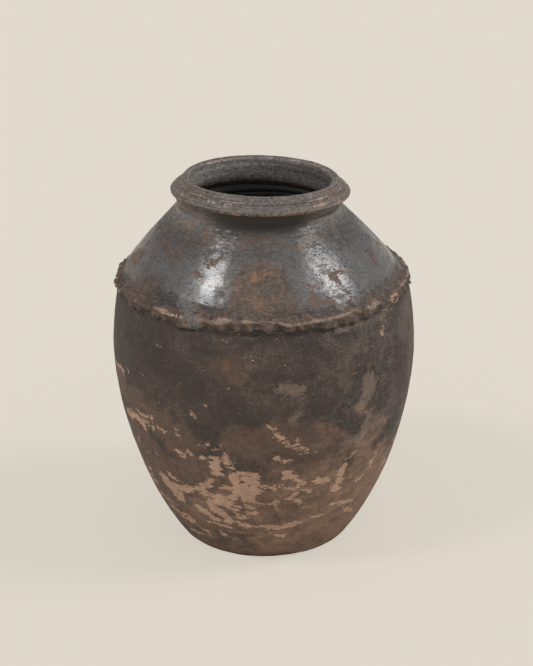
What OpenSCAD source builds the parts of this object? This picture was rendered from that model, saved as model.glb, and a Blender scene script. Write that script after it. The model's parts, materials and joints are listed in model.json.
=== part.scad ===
// Shouldered terracotta water jar, built by hand in stages and fired: a slab floor, a belly wall,
// a shoulder, a neck and a rolled rim luted together, with a thumb-crimped strip over the seam.
// Millimetres, +Z up, origin on the ground under the middle of the foot, front towards -Y.

/* [Foot and belly] */
// Radius at which the wall's outer curve meets the ground
foot_r = 100; // [85:1:115]
// Lean of the wall from upright where it leaves the foot, in degrees
foot_flare = 35; // [20:1:45]
// Worn round on the bottom edge of the foot
foot_edge_r = 4; // [2:0.5:6]
// Thickness of the floor slab
floor_t = 14; // [10:0.5:20]
// Widest radius of the belly
belly_r = 172.8; // [165:0.1:200]
// Height of the widest part of the belly
belly_z = 226; // [190:1:250]
// Thickness of the belly wall
belly_wall_t = 12; // [8:0.5:16]

/* [Shoulder and neck] */
// How far the seam between belly and shoulder lies in from the widest part of the belly
seam_in = 9.3; // [4:0.1:30]
// Height of the seam between belly and shoulder
seam_z = 307; // [285:1:320]
// Thickness of the shoulder and the neck
shoulder_wall_t = 11; // [8:0.5:14]
// Outer radius of the neck
neck_r = 95.5; // [88:0.5:105]
// Height at which the shoulder turns up into the neck
neck_z = 386; // [370:1:400]
// Height of the neck, from that turn to the rim's seat
neck_h = 15; // [10:0.5:25]

/* [Rim] */
// Radius of the throat, the narrowest part of the mouth
throat_r = 77.5; // [70:0.5:80]
// Height of the rim above its seat on the neck
rim_h = 26; // [23:0.5:34]
// How far the bead of the rim stands out past the neck
bead_out = 5; // [3:0.5:9]
// Radius of the bead's rounded edge
bead_edge_r = 5.5; // [4:0.5:7]
// Radius of the rounded lip
lip_edge_r = 4.2; // [3:0.2:5]
// Lean of the rim, as its maker left it, in degrees
rim_lean = 2; // [0:0.5:4]
// Direction that the rim leans towards, in degrees from +X
rim_lean_towards = 60; // [0:5:355]

/* [Crimped strip] */
// How far the strip hangs below the seam
strip_drop = 3; // [1:0.5:6]
// How far the strip reaches up the shoulder from the seam
strip_rise = 16; // [12:0.5:24]
// Thickness of the strip at its crimped edge
strip_t = 4.5; // [3:0.5:8]
// Distance from one thumb print to the next along the strip
crimp_pitch = 14; // [11:0.5:20]
// Radius of the ball of the thumb that made the prints
thumb_r = 7; // [5:0.5:9]
// How deep each print goes into the strip
crimp_depth = 2.4; // [1:0.2:3]
// Direction of the lap where the strip's two ends meet, in degrees from +X
lap_at = 240; // [0:5:355]
// Width of the clay pressed over the lap
lap_w = 13; // [8:1:20]

/* [Hidden] */
$fn = 180;

// Straight steps that stand for one free curve, and for one small arc
CURVE_STEPS = 14;
ARC_STEPS = 6;
// Handles of the free curves, as a share of the height that each one climbs
FOOT_PULL = 0.385;
BELLY_PULL = 0.23;
BELLY_UP_PULL = 0.35;
SEAM_PULL = 0.25;
SHOULDER_PULL = 0.3;
NECK_PULL = 0.25;
// Lean inwards from upright, in degrees, below the seam, above it and at the neck
BELLY_TOP_LEAN = 16;
SHOULDER_FOOT_LEAN = 25;
NECK_FOOT_LEAN = 42;
// How much wider the neck is at its foot, and the height over which that fades
NECK_FLARE = 2;
NECK_FLARE_H = 7;
// Step on the floor slab that the wall sits round
SLAB_STEP = 3;
// Depth of the lap of the shoulder inside the top of the wall
LAP_H = 6;
// How far the clay smoothed over the inner joints reaches, and its thickness over the seam
FILLET_REACH = 16;
FILLET_PROUD = 4;
// Tongue on the neck that keys the rim
TONGUE_W = 4;
TONGUE_H = 2;
// Height of the bead's middle and of the turned ridge above the seat
BEAD_MID_H = 8.3;
RIDGE_H = 17.4;
// Distance of the ridge in from the bead's edge, and the depth of the groove under it
RIDGE_IN = 10.8;
RIDGE_GROOVE = 1.5;
// Height over which the neck narrows to the throat
THROAT_TAPER_H = 8;
// Directions, in degrees above level, at which the rounds of the lip and the bead begin and end
LIP_OUT = 40;
BEAD_TOP = 125;
BEAD_UNDER = -70;
// Radius and depth of the groove that the maker's finger left under the strip
FINGER_R = 2.5;
FINGER_DEPTH = 1.4;
// Radius of the strip's rolled lower edge, and its thickness at the top
STRIP_EDGE_R = 2.6;
STRIP_TOP_T = 0.6;
// Height of the prints above the strip's lower edge
PRINT_H = 1;
// Spread of the hand-made prints, as a share of their pitch and of their depth
PRINT_SPREAD = 0.14;
PRINT_DEPTH_SPREAD = 0.35;
PRINT_SEED = 7;
// How far the clay over the lap runs past the strip, and how far it stands proud
LAP_OVERRUN = 5;
LAP_PROUD = 1.6;
BIG = 1000;

// Points and curves in the half plane of radius and height
function lean(a) = [-sin(a), cos(a)];
function across(way, d) = d * [-way[1], way[0]];
function bezier(p, t) =
    pow(1 - t, 3) * p[0] + 3 * pow(1 - t, 2) * t * p[1] + 3 * (1 - t) * t * t * p[2] + pow(t, 3) * p[3];
function bezier_way(p, t) =
    let (d = pow(1 - t, 2) * (p[1] - p[0]) + 2 * (1 - t) * t * (p[2] - p[1]) + t * t * (p[3] - p[2]))
    d / norm(d);
function curve(p) = [for (i = [0 : CURVE_STEPS]) bezier(p, i / CURVE_STEPS)];
function curve_inside(p, wall) =
    [for (i = [0 : CURVE_STEPS])
        let (t = i / CURVE_STEPS) bezier(p, t) + across(bezier_way(p, t), wall)];
function arc(centre, r, from, to) =
    [for (i = [0 : ARC_STEPS])
        let (a = from + (to - from) * i / ARC_STEPS) centre + r * [cos(a), sin(a)]];
function backwards(list) = [for (i = [len(list) - 1 : -1 : 0]) list[i]];
function but_first(list) = [for (i = [1 : len(list) - 1]) list[i]];
function between(list, low, high) = [for (p = list) if (p[1] > low && p[1] < high) p];
function radius_at(list, z) = lookup(z, [for (p = list) [p[1], p[0]]]);
function point_at(list, z) = [radius_at(list, z), z];
function stretch(list, low, high) =
    concat([point_at(list, low)], between(list, low, high), [point_at(list, high)]);

// The jar's free curves, each as the four points of a Bezier
seam_r = belly_r - seam_in;
seam = [seam_r, seam_z];
belly = [belly_r, belly_z];
neck_foot = [neck_r + NECK_FLARE, neck_z];
belly_climb = seam_z - belly_z;
shoulder_climb = neck_z - seam_z;
low_curve = [[foot_r, 0], [foot_r, 0] + FOOT_PULL * belly_z * lean(-foot_flare),
             belly - [0, BELLY_PULL * belly_z], belly];
high_curve = [belly, belly + [0, BELLY_UP_PULL * belly_climb],
              seam - SEAM_PULL * belly_climb * lean(BELLY_TOP_LEAN), seam];
shoulder_curve = [seam, seam + SHOULDER_PULL * shoulder_climb * lean(SHOULDER_FOOT_LEAN),
                  neck_foot - NECK_PULL * shoulder_climb * lean(NECK_FOOT_LEAN), neck_foot];

// Outlines of the clay, outside and inside
belly_outside = concat(curve(low_curve), but_first(curve(high_curve)));
belly_inside = concat(curve_inside(low_curve, belly_wall_t), but_first(curve_inside(high_curve, belly_wall_t)));
shoulder_outside = curve(shoulder_curve);
shoulder_inside = curve_inside(shoulder_curve, shoulder_wall_t);
outside = concat(belly_outside, but_first(shoulder_outside));
neck_in_r = neck_r - shoulder_wall_t;

// Where one piece seats on the next
wall_foot_z = floor_t - SLAB_STEP;
step_r = radius_at(belly_inside, floor_t);
lap_z = seam_z - LAP_H;
lap_r = seam_r - belly_wall_t / 2;
seat_z = neck_z + neck_h;
tongue_r = neck_r - shoulder_wall_t / 2;

// The crimped strip
strip_low = seam_z - strip_drop;
strip_high = seam_z + strip_rise;
strip_edge = radius_at(outside, strip_low) + strip_t;
lap_half = asin(lap_w / 2 / seam_r);
strip_turn = 360 - 2 * lap_half;
crimps = floor(2 * PI * strip_edge * (strip_turn / 360) / crimp_pitch);

module turned(turn = 360) { rotate_extrude(angle = turn) children(); }

// Carries the rim and its seat, which lean together
module leant() {
    translate([0, 0, seat_z])
        rotate(a = rim_lean, v = [-sin(rim_lean_towards), cos(rim_lean_towards), 0])
            children();
}

// Disc of clay that the jar was started on, with a worn edge and a step that centres the wall
module floor_slab() {
    worn = radius_at(belly_outside, foot_edge_r) - foot_edge_r;
    color([0.30, 0.22, 0.18])
        turned()
            polygon(concat([[0, 0]],
                           arc([worn, foot_edge_r], foot_edge_r, -90, 0),
                           between(belly_outside, foot_edge_r, wall_foot_z),
                           [point_at(belly_outside, wall_foot_z), [step_r, wall_foot_z],
                            [step_r, floor_t], [0, floor_t]]));
}

// Coil of clay smoothed into the corner between the floor and the wall
module floor_fillet() {
    corner = [step_r, floor_t];
    top = point_at(belly_inside, floor_t + FILLET_REACH);
    edge = corner - [FILLET_REACH, 0];
    face = [edge, edge + [FILLET_REACH / 2, 0], (corner + top) / 2, top];
    color([0.25, 0.19, 0.16])
        turned()
            polygon(concat([corner], but_first(stretch(belly_inside, floor_t, top[1])),
                           but_first(backwards(curve(face)))));
}

// Wall from the foot to the seam, rebated at the top for the shoulder
module belly_wall() {
    groove_z = strip_low - FINGER_R;
    color([0.27, 0.22, 0.20])
        difference() {
            turned()
                polygon(concat(stretch(belly_outside, wall_foot_z, seam_z),
                               [[lap_r, seam_z], [lap_r, lap_z]],
                               backwards(stretch(belly_inside, floor_t, lap_z)),
                               [[step_r, wall_foot_z]]));
            rotate([0, 0, lap_at + lap_half])
                turned(strip_turn)
                    translate([radius_at(belly_outside, groove_z) + FINGER_R - FINGER_DEPTH, groove_z])
                        circle(r = FINGER_R, $fn = 24);
        }
}

// Coil of clay smoothed over the seam on the inside
module seam_fillet() {
    low = lap_z - FILLET_REACH;
    high = lap_z + FILLET_REACH;
    back = concat(stretch(belly_inside, low, lap_z),
                  stretch(shoulder_inside, shoulder_inside[0][1], high));
    face = [for (p = back) if (p[1] > low && p[1] < high)
                p - [FILLET_PROUD * sin(180 * (p[1] - low) / (high - low)), 0]];
    color([0.25, 0.19, 0.16])
        turned()
            polygon(concat(back, backwards(face)));
}

// Shoulder, lapped inside the wall at the seam and bevelled at the neck
module shoulder() {
    color([0.31, 0.28, 0.27])
        turned()
            polygon(concat(shoulder_outside, backwards(shoulder_inside),
                           [point_at(belly_inside, lap_z), [lap_r, lap_z], [lap_r, seam_z]]));
}

// Neck, bevelled on to the shoulder, its top cut to the rim's lean and raised into a tongue
module neck_collar() {
    foot_in = shoulder_inside[CURVE_STEPS];
    rise_in = [neck_in_r, neck_z + NECK_FLARE_H / 2];
    rise_out = [neck_r, neck_z + NECK_FLARE_H];
    flare_out = [neck_foot, neck_foot + NECK_FLARE * lean(NECK_FOOT_LEAN),
                 rise_out - [0, NECK_FLARE_H / 2], rise_out];
    flare_in = [foot_in, foot_in + NECK_FLARE * lean(NECK_FOOT_LEAN),
                rise_in - [0, NECK_FLARE_H / 2], rise_in];
    above = seat_z + neck_h;
    color([0.24, 0.21, 0.19]) {
        intersection() {
            turned()
                polygon(concat(curve(flare_out), [[neck_r, above], [neck_in_r, above]],
                               backwards(curve(flare_in))));
            leant() translate([-BIG / 2, -BIG / 2, -BIG]) cube(BIG);
        }
        leant()
            turned()
                translate([tongue_r - TONGUE_W / 2, -TONGUE_H])
                    square([TONGUE_W, 2 * TONGUE_H]);
    }
}

// Rolled rim: throat, rounded lip, turned ridge and bead, grooved beneath for the neck's tongue
module rim_roll() {
    bead = [neck_r + bead_out - bead_edge_r, BEAD_MID_H];
    lip = [throat_r + lip_edge_r, rim_h - lip_edge_r];
    ridge = [neck_r + bead_out - RIDGE_IN, RIDGE_H];
    taper = [[neck_in_r, 0], [neck_in_r, THROAT_TAPER_H / 2],
             [throat_r, THROAT_TAPER_H / 2], [throat_r, THROAT_TAPER_H]];
    color([0.29, 0.25, 0.23])
        leant()
            turned()
                polygon(concat(curve(taper),
                               arc(lip, lip_edge_r, 180, LIP_OUT),
                               [ridge, ridge + [RIDGE_GROOVE / 2, -RIDGE_GROOVE]],
                               arc(bead, bead_edge_r, BEAD_TOP, BEAD_UNDER),
                               [[neck_r, 0],
                                [tongue_r + TONGUE_W / 2, 0], [tongue_r + TONGUE_W / 2, TONGUE_H],
                                [tongue_r - TONGUE_W / 2, TONGUE_H], [tongue_r - TONGUE_W / 2, 0]]));
}

// Section of the strip: its back follows the wall and the shoulder, its face is rolled
function strip_section(low, high, edge_t, top_t) =
    let (back = stretch(outside, low, high),
         top = back[len(back) - 1] + [top_t, 0],
         edge = [radius_at(outside, low) + edge_t - STRIP_EDGE_R, low + STRIP_EDGE_R],
         rolled = arc(edge, STRIP_EDGE_R, -90, 15),
         start = rolled[ARC_STEPS],
         pull = (high - low) / 3)
    concat(back,
           backwards(curve([start, start + pull * lean(15), top + pull * lean(-SHOULDER_FOOT_LEAN) * [[1, 0], [0, -1]], top])),
           backwards(rolled));

module thumb_prints() {
    jitter = rands(-1, 1, 2 * crimps, PRINT_SEED);
    pitch = strip_turn / crimps;
    for (i = [0 : crimps - 1]) {
        depth = crimp_depth * (1 + PRINT_DEPTH_SPREAD * jitter[2 * i]);
        rotate([0, 0, lap_at + lap_half + pitch * (i + 0.5 + PRINT_SPREAD * jitter[2 * i + 1])])
            translate([strip_edge - depth + thumb_r, 0, strip_low + PRINT_H])
                sphere(r = thumb_r, $fn = 36);
    }
}

// Strip of clay pressed over the seam with the thumb, open where its ends lap
module crimped_strip() {
    color([0.38, 0.29, 0.24])
        difference() {
            rotate([0, 0, lap_at + lap_half])
                turned(strip_turn)
                    polygon(strip_section(strip_low, strip_high, strip_t, STRIP_TOP_T));
            thumb_prints();
        }
}

// Dab of clay pressed over the strip's two ends
module strip_lap() {
    reach = (strip_high - strip_low) / 2 + LAP_OVERRUN;
    middle = [radius_at(outside, (strip_high + strip_low) / 2), (strip_high + strip_low) / 2];
    color([0.36, 0.36, 0.36])
        intersection() {
            rotate([0, 0, lap_at - lap_half])
                turned(2 * lap_half)
                    polygon(strip_section(strip_low - LAP_OVERRUN, strip_high + LAP_OVERRUN,
                                          strip_t + LAP_PROUD, LAP_PROUD));
            rotate([0, 0, lap_at])
                translate([middle[0] - LAP_OVERRUN, 0, middle[1]])
                    sphere(r = reach + LAP_OVERRUN / 2, $fn = 72);
        }
}

floor_slab();
floor_fillet();
belly_wall();
seam_fillet();
shoulder();
neck_collar();
rim_roll();
crimped_strip();
strip_lap();
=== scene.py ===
import json
import math

import bpy
import numpy as np
from bpy.props import FloatProperty, FloatVectorProperty, PointerProperty
from mathutils import Matrix, Vector


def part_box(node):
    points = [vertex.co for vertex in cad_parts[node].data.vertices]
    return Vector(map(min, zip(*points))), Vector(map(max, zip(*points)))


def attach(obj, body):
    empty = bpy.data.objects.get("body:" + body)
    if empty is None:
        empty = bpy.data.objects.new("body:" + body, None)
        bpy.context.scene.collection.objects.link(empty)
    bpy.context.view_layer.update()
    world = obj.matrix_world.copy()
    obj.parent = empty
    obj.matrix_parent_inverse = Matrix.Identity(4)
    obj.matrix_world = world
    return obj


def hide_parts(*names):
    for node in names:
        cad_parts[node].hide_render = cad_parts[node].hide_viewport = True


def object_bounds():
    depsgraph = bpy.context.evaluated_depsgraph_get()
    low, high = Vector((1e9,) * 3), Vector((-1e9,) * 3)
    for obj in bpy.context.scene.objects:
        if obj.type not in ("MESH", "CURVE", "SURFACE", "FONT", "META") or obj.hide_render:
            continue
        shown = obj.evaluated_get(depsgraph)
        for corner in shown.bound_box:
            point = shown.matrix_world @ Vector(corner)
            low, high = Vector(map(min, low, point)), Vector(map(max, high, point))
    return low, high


bl_info = {
    "name": "Terracotta water jar",
    "version": (1, 0, 0),
    "blender": (4, 5, 0),
    "location": "3D View > Sidebar > Water jar",
    "description": "Models and finishes a hand-built water jar round its solids",
    "category": "Object",
}

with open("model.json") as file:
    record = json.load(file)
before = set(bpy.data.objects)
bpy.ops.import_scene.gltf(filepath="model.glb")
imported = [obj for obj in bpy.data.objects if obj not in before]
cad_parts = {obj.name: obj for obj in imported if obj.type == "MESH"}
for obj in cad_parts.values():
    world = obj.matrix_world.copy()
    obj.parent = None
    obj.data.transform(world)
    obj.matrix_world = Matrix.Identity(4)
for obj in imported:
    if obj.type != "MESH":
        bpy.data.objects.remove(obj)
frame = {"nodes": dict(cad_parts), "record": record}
SOLIDS_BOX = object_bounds()
MM = 0.001

# Places of the solids, in metres, from which the sizes below take their defaults
SEAM_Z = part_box("belly_wall")[1][2]
SEAM_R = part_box("shoulder")[1][0]
NECK_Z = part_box("shoulder")[1][2]
STRIP_Z = (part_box("crimped_strip")[0][2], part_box("crimped_strip")[1][2])
MOUTH = next(m for m in frame["record"]["mounts"] if m["name"] == "mouth")


# Sizes and colours


def length(name, description, default, low=0.0):
    return FloatProperty(
        name=name,
        description=description,
        default=default,
        min=low,
        max=1.0,
        precision=4,
        unit="LENGTH",
        subtype="DISTANCE",
    )


def turn(name, description, degrees):
    return FloatProperty(
        name=name,
        description=description,
        default=math.radians(degrees),
        unit="ROTATION",
        subtype="ANGLE",
    )


def colour(name, description, default):
    return FloatVectorProperty(
        name=name,
        description=description,
        default=default,
        size=3,
        min=0.0,
        max=1.0,
        subtype="COLOR",
    )


def level(name, description, default, unit="NONE"):
    return FloatProperty(
        name=name, description=description, default=default, min=0.0, unit=unit
    )


class JarSizes(bpy.types.PropertyGroup):
    foot_r: length("Foot radius", "Where the wall's outer curve meets the ground", 0.1)
    foot_edge: length("Foot edge", "Radius of the worn edge of the foot", 0.0025)
    belly_r: length(
        "Belly radius", "Widest radius of the belly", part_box("belly_wall")[1][0]
    )
    belly_z: length("Belly height", "Height of the widest part of the belly", 0.226)
    belly_wall: length("Belly wall", "Thickness of the belly wall", 0.012)
    floor_top: length(
        "Floor", "Height of the inner face of the floor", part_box("floor_slab")[1][2]
    )
    seam_r: length("Seam radius", "Outer radius at the shoulder's seam", SEAM_R)
    seam_z: length("Seam height", "Height of the shoulder's seam", SEAM_Z)
    shoulder_wall: length("Shoulder wall", "Thickness of shoulder and neck", 0.011)
    neck_r: length("Neck radius", "Outer radius of the neck", 0.0916)
    neck_in: length("Neck bore", "Inner radius of the neck", 0.0845)
    neck_z: length("Neck height", "Where the shoulder turns up into the neck", NECK_Z)
    seat_z: length("Rim seat", "Height of the rim's seat on the neck", 0.401)
    rim_h: length("Rim height", "Height of the rim above its seat", 0.0252)
    throat_r: length(
        "Throat", "Radius of the narrowest part", MOUTH["dims"]["r_mm"] * MM
    )
    bead_r: length("Bead radius", "Outer radius of the rim's bead", 0.1003)
    strip_low: length("Strip's lower edge", "Height of the strip's edge", STRIP_Z[0])
    strip_high: length("Strip's upper edge", "Height of its thin edge", STRIP_Z[1])
    strip_t: length("Strip thickness", "Thickness at the crimped edge", 0.0043)
    crimp_pitch: length("Crimp pitch", "From one thumb print to the next", 0.014)
    crimp_depth: length("Crimp depth", "How deep a thumb print goes in", 0.0022)
    lap_at: turn("Lap", "Direction of the lap of the strip's ends, from +X", 240)
    lap_w: length("Lap width", "Width of the clay smeared over the lap", 0.018)
    neck_drift: length("Neck drift", "How far the neck sits off centre", -0.0043, -0.02)
    rim_drift: length("Rim drift", "How far the rim sits off centre", -0.0012, -0.02)
    rim_lean: turn("Rim lean", "How far the rim leans from upright", 2.32)
    rim_lean_to: turn("Lean direction", "Direction the rim leans to, from +X", 37)
    swell: length("Swell", "Depth of the walls' slow unevenness", 0.0022)
    dents: length("Dents", "Depth of the small dents of fingers and paddle", 0.0007)


class JarColours(bpy.types.PropertyGroup):
    black_slip: colour("Black slip", "Smoked slip, upper belly", (0.055, 0.041, 0.037))
    dark_brown: colour("Dark brown", "Smoked slip where it is thin", (0.080, 0.056, 0.047))
    deep_brown: colour("Deep brown", "Slip, lower left of the belly", (0.128, 0.080, 0.060))
    brown_slip: colour("Brown slip", "Thin slip, lower right", (0.240, 0.148, 0.105))
    grey_slip: colour("Grey slip", "Burnished shoulder slip", (0.094, 0.088, 0.085))
    rim_slip: colour("Rim slip", "Dusty slip of the rim", (0.135, 0.118, 0.110))
    ashy_slip: colour("Ashy slip", "Dusty grain in the slip", (0.180, 0.145, 0.128))
    bare_clay: colour("Bare clay", "Clay where slip wore off", (0.520, 0.337, 0.242))
    under_clay: colour("Under-layer", "Where burnish flaked off", (0.165, 0.108, 0.082))
    brown_film: colour("Brown film", "Thin rusty film on the shoulder", (0.135, 0.092, 0.070))
    rim_brown: colour("Rim brown", "Brown slip of the rim", (0.155, 0.108, 0.085))
    # Also the painted sheen at the shoulder's right-hand edge and the painted light inside the throat
    smear: colour("Smear", "Grey clay smeared over the lap", (0.165, 0.160, 0.155))
    # Also painted light on the rim's ridge and on the strip's crest
    worn_and_lit_brown: colour("Worn brown", "Ridges that hands rub", (0.325, 0.226, 0.168))
    rust: colour("Rust", "Iron-rich orange-brown bloom", (0.250, 0.122, 0.064))
    # Also painted light on the ridge under the strip
    pale_film_and_light: colour("Pale film", "Thin film on the belly", (0.270, 0.195, 0.155))
    # Also painted highlights on the rim
    lime_film_and_highlight: colour("Lime film", "Whitish water scale", (0.480, 0.470, 0.450))
    # Also the painted shadow under the strip
    soot_and_shade: colour("Soot", "Soot in the hollows", (0.028, 0.024, 0.022))
    # Painted shadow under the bead, and painted shade inside the neck and throat
    black: colour("Black", "Soot and shadow under the bead", (0.036, 0.032, 0.029))
    inner_clay: colour("Inner clay", "Smoked clay deep in the jar", (0.165, 0.167, 0.162))


class JarStage(bpy.types.PropertyGroup):
    floor_colour: colour("Floor", "Colour of the pale floor", (0.755, 0.705, 0.620))
    floor_even: level("Floor evenness", "Share of the floor that takes no shadow", 0.7)
    world: level("World", "Strength of the even light", 0.5)
    side_power: level("Side lamps", "Power of each side lamp", 1.0)


# Marks of wear and stain, and of painted light and shade: each is a path of (direction
# from +X in degrees, height in mm) and the half width of the mark in mm

WORN = (
    (((-110.0, 147), (-110.0, 137)), 7.1),
    (((-112.3, 150), (-114.7, 152)), 2.4),
    (((-106.7, 172), (-105.5, 161)), 1.4),
    (((-105.5, 158), (-104.7, 145)), 2.2),
    (((-103.1, 148), (-102.9, 140)), 1.7),
    (((-114.5, 167), (-112.0, 169)), 1.5),
    (((-111.8, 163), (-108.1, 165)), 1.3),
    (((-139.2, 101), (-135.8, 93), (-133.4, 83)), 8.8),
    (((-137.0, 99), (-128.0, 96)), 5.4),
    (((-98.5, 132), (-97.5, 124)), 4.0),
    (((-129.3, 100), (-123.1, 101)), 2.7),
    (((-123.0, 113), (-119.9, 108)), 1.8),
    (((-134.1, 112), (-131.3, 107)), 2.0),
    (((-112.9, 121), (-116.4, 111), (-119.7, 105)), 3.8),
    (((-108.9, 113), (-102.8, 116)), 2.4),
    (((-102.3, 135), (-97.8, 137), (-93.5, 133)), 3.9),
    (((-102.5, 126), (-101.4, 109), (-104.4, 98)), 5.5),
    (((-95.2, 128), (-94.6, 113), (-96.5, 100)), 5.5),
    (((-98.6, 118), (-99.1, 101)), 6.1),
    (((-117.7, 99), (-112.7, 97), (-108.0, 98)), 4.5),
    (((-115.4, 86), (-110.1, 94), (-105.6, 91)), 5.0),
    (((-92.1, 116), (-84.8, 117), (-75.9, 113)), 2.4),
    (((-78.0, 109), (-72.3, 108)), 1.4),
    (((-80.7, 98), (-76.6, 105)), 2.1),
    (((-76.7, 94), (-75.6, 90)), 1.6),
    (((-81.7, 135), (-78.4, 128), (-74.4, 119)), 3.1),
    (((-80.2, 137), (-82.1, 131)), 2.0),
    (((-68.8, 119), (-64.2, 118)), 4.2),
    (((-56.5, 132), (-58.3, 122), (-56.9, 111), (-59.8, 103)), 4.2),
    (((-54.4, 143), (-52.9, 145)), 1.3),
    (((-37.2, 127), (-39.8, 121), (-39.6, 111)), 3.0),
    (((-85.8, 158), (-83.5, 153), (-81.5, 153)), 1.7),
    (((-88.7, 198), (-86.5, 193)), 1.3),
    (((-86.2, 189), (-83.6, 183)), 3.2),
    (((-83.6, 179), (-82.5, 175)), 1.4),
    (((-81.3, 172), (-77.9, 171)), 1.9),
    (((-78.4, 178), (-76.0, 168)), 1.6),
    (((-79.0, 166), (-74.4, 164)), 1.3),
    (((-117.1, 210), (-116.1, 204), (-115.0, 199)), 2.1),
    (((-112.5, 223), (-111.7, 222)), 1.3),
    (((-157.9, 168), (-148.8, 174), (-143.5, 168)), 4.4),
    (((-146.2, 182), (-139.8, 184)), 2.6),
    (((-143.2, 176), (-139.7, 173)), 2.2),
    (((-137.2, 187), (-137.4, 171)), 1.3),
    (((-134.1, 176), (-131.2, 172)), 1.7),
    (((-125.2, 180), (-123.0, 170)), 1.4),
    (((-167.7, 131), (-159.2, 121)), 1.4),
    (((-167.3, 220), (-158.5, 224), (-155.2, 223)), 2.3),
    (((-151.1, 232), (-150.3, 229)), 1.3),
    (((-126.6, 153), (-123.1, 148)), 1.4),
    (((-120.5, 159), (-120.0, 153)), 1.2),
    (((-139.6, 141), (-139.5, 137)), 1.2),
    (((-152.8, 65), (-145.0, 61)), 1.6),
    (((-145.3, 54), (-137.5, 46), (-128.6, 40), (-122.5, 30)), 2.2),
    (((-136.3, 50), (-129.8, 47)), 2.1),
    (((-139.3, 25), (-129.6, 24)), 1.3),
    (((-124.0, 75), (-119.1, 69), (-114.6, 61)), 3.2),
    (((-121.2, 53), (-115.8, 56)), 1.8),
    (((-114.0, 79), (-109.6, 72), (-107.9, 62)), 4.7),
    (((-107.7, 87), (-102.1, 88)), 2.5),
    (((-104.4, 79), (-101.6, 69)), 2.2),
    (((-99.0, 90), (-96.8, 86)), 1.5),
    (((-100.9, 74), (-94.3, 78)), 1.8),
    (((-95.0, 92), (-88.9, 92)), 2.1),
    (((-86.3, 95), (-84.9, 84)), 2.2),
    (((-113.4, 52), (-108.5, 53)), 1.7),
    (((-114.3, 40), (-112.9, 32)), 1.6),
    (((-104.9, 61), (-99.7, 56), (-92.8, 55)), 2.7),
    (((-92.8, 57), (-83.9, 51), (-79.0, 55)), 3.2),
    (((-88.9, 45), (-81.5, 38)), 1.9),
    (((-80.1, 57), (-72.7, 60)), 1.7),
    (((-59.8, 75), (-54.3, 76), (-45.5, 69)), 1.8),
    (((-49.8, 62), (-41.3, 50)), 1.3),
    (((-68.1, 61), (-62.9, 62)), 1.4),
    (((-46.8, 101), (-43.1, 102)), 1.4),
    (((-61.7, 95), (-56.9, 99)), 1.3),
    (((-97.0, 46), (-95.0, 47)), 1.1),
)

FLAKED = (
    (((-117.3, 364), (-114.4, 363)), 3.2),
    (((-114.5, 367), (-112.4, 368)), 1.9),
    (((-119.7, 361), (-116.9, 359)), 1.5),
    (((-123.7, 354), (-121.0, 350), (-119.3, 350)), 2.4),
    (((-108.5, 339), (-107.0, 337)), 2.1),
    (((-57.0, 347), (-52.1, 348), (-49.4, 348)), 2.6),
    (((-54.9, 344), (-53.8, 340)), 3.4),
    (((-58.1, 345), (-56.3, 343)), 1.7),
    (((-68.8, 342), (-66.3, 340)), 1.6),
    (((-62.6, 344), (-62.0, 342)), 1.3),
    (((-53.3, 332), (-50.9, 329)), 1.7),
    (((-55.6, 329), (-54.1, 327)), 1.3),
    (((-68.5, 335), (-67.2, 331), (-67.8, 327)), 3.4),
    (((-70.9, 327), (-67.1, 326)), 2.8),
    (((-65.1, 327), (-60.5, 324)), 2.8),
    (((-62.7, 330), (-60.8, 328)), 1.7),
)

RUBBED = (
    (((-131.0, 313.4), (-126.4, 313.2), (-121.8, 313.4)), 1.5),
    (((-38.2, 302), (-34.1, 306)), 1.1),
    (((-30.4, 304), (-28.1, 306)), 1.3),
    (((-32.9, 312), (-25.9, 311)), 1.1),
    (((-40.7, 279), (-39.2, 283)), 2.4),
    (((-107.0, 412), (-104.4, 411)), 1.7),
    (((-54.0, 417.6), (-42.0, 417.2), (-30.0, 416.0)), 0.5),
    (((-54.0, 414.6), (-42.0, 414.2)), 0.5),
    (((-113.0, 303), (-110.3, 306)), 0.9),
)

RUSTY = (
    (((-99.0, 352), (-90.0, 353), (-82.0, 347)), 13.0),
    (((-98.0, 336), (-90.0, 334), (-82.0, 332)), 13.0),
    (((-104.1, 272), (-102.6, 265)), 5.0),
    (((-50.9, 249), (-47.9, 249)), 4.3),
    (((-44.9, 229), (-43.2, 223)), 2.7),
    (((-19.6, 351), (-22.7, 341)), 3.5),
    (((-69.4, 190), (-61.6, 175)), 6.0),
    (((-70.5, 377), (-67.0, 375)), 3.0),
    (((-96.0, 386), (-76.0, 386)), 2.4),
)

BEAD_RUBBED = (
    (((-176.0, 411), (-160.0, 410), (-142.0, 408.5), (-126.0, 408), (-112.0, 408.5)), 2.6),
    (((-104.0, 409), (-86.0, 409.5), (-72.0, 411)), 1.4),
    (((-38.0, 413), (-26.0, 410)), 2.0),
)

PALE_AND_LIT = (
    (((-48.6, 233), (-49.0, 219), (-52.2, 207)), 11.0),
    (((-47.6, 191), (-49.3, 174), (-51.5, 161)), 8.0),
    # Painted light: the lit top of the belly's ridge under the strip, on the right front
    (((-62.0, 297), (-46.0, 299), (-32.0, 300)), 4.0),
    (((-83.5, 243), (-77.8, 240)), 8.5),
    (((-80.7, 234), (-76.1, 230)), 3.2),
    (((-77.9, 210), (-80.8, 203)), 5.4),
    # Painted highlight: a thin light line on the ridge under the strip, in front
    (((-100.0, 299), (-86.0, 299), (-76.0, 296.5)), 0.8),
)

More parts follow.
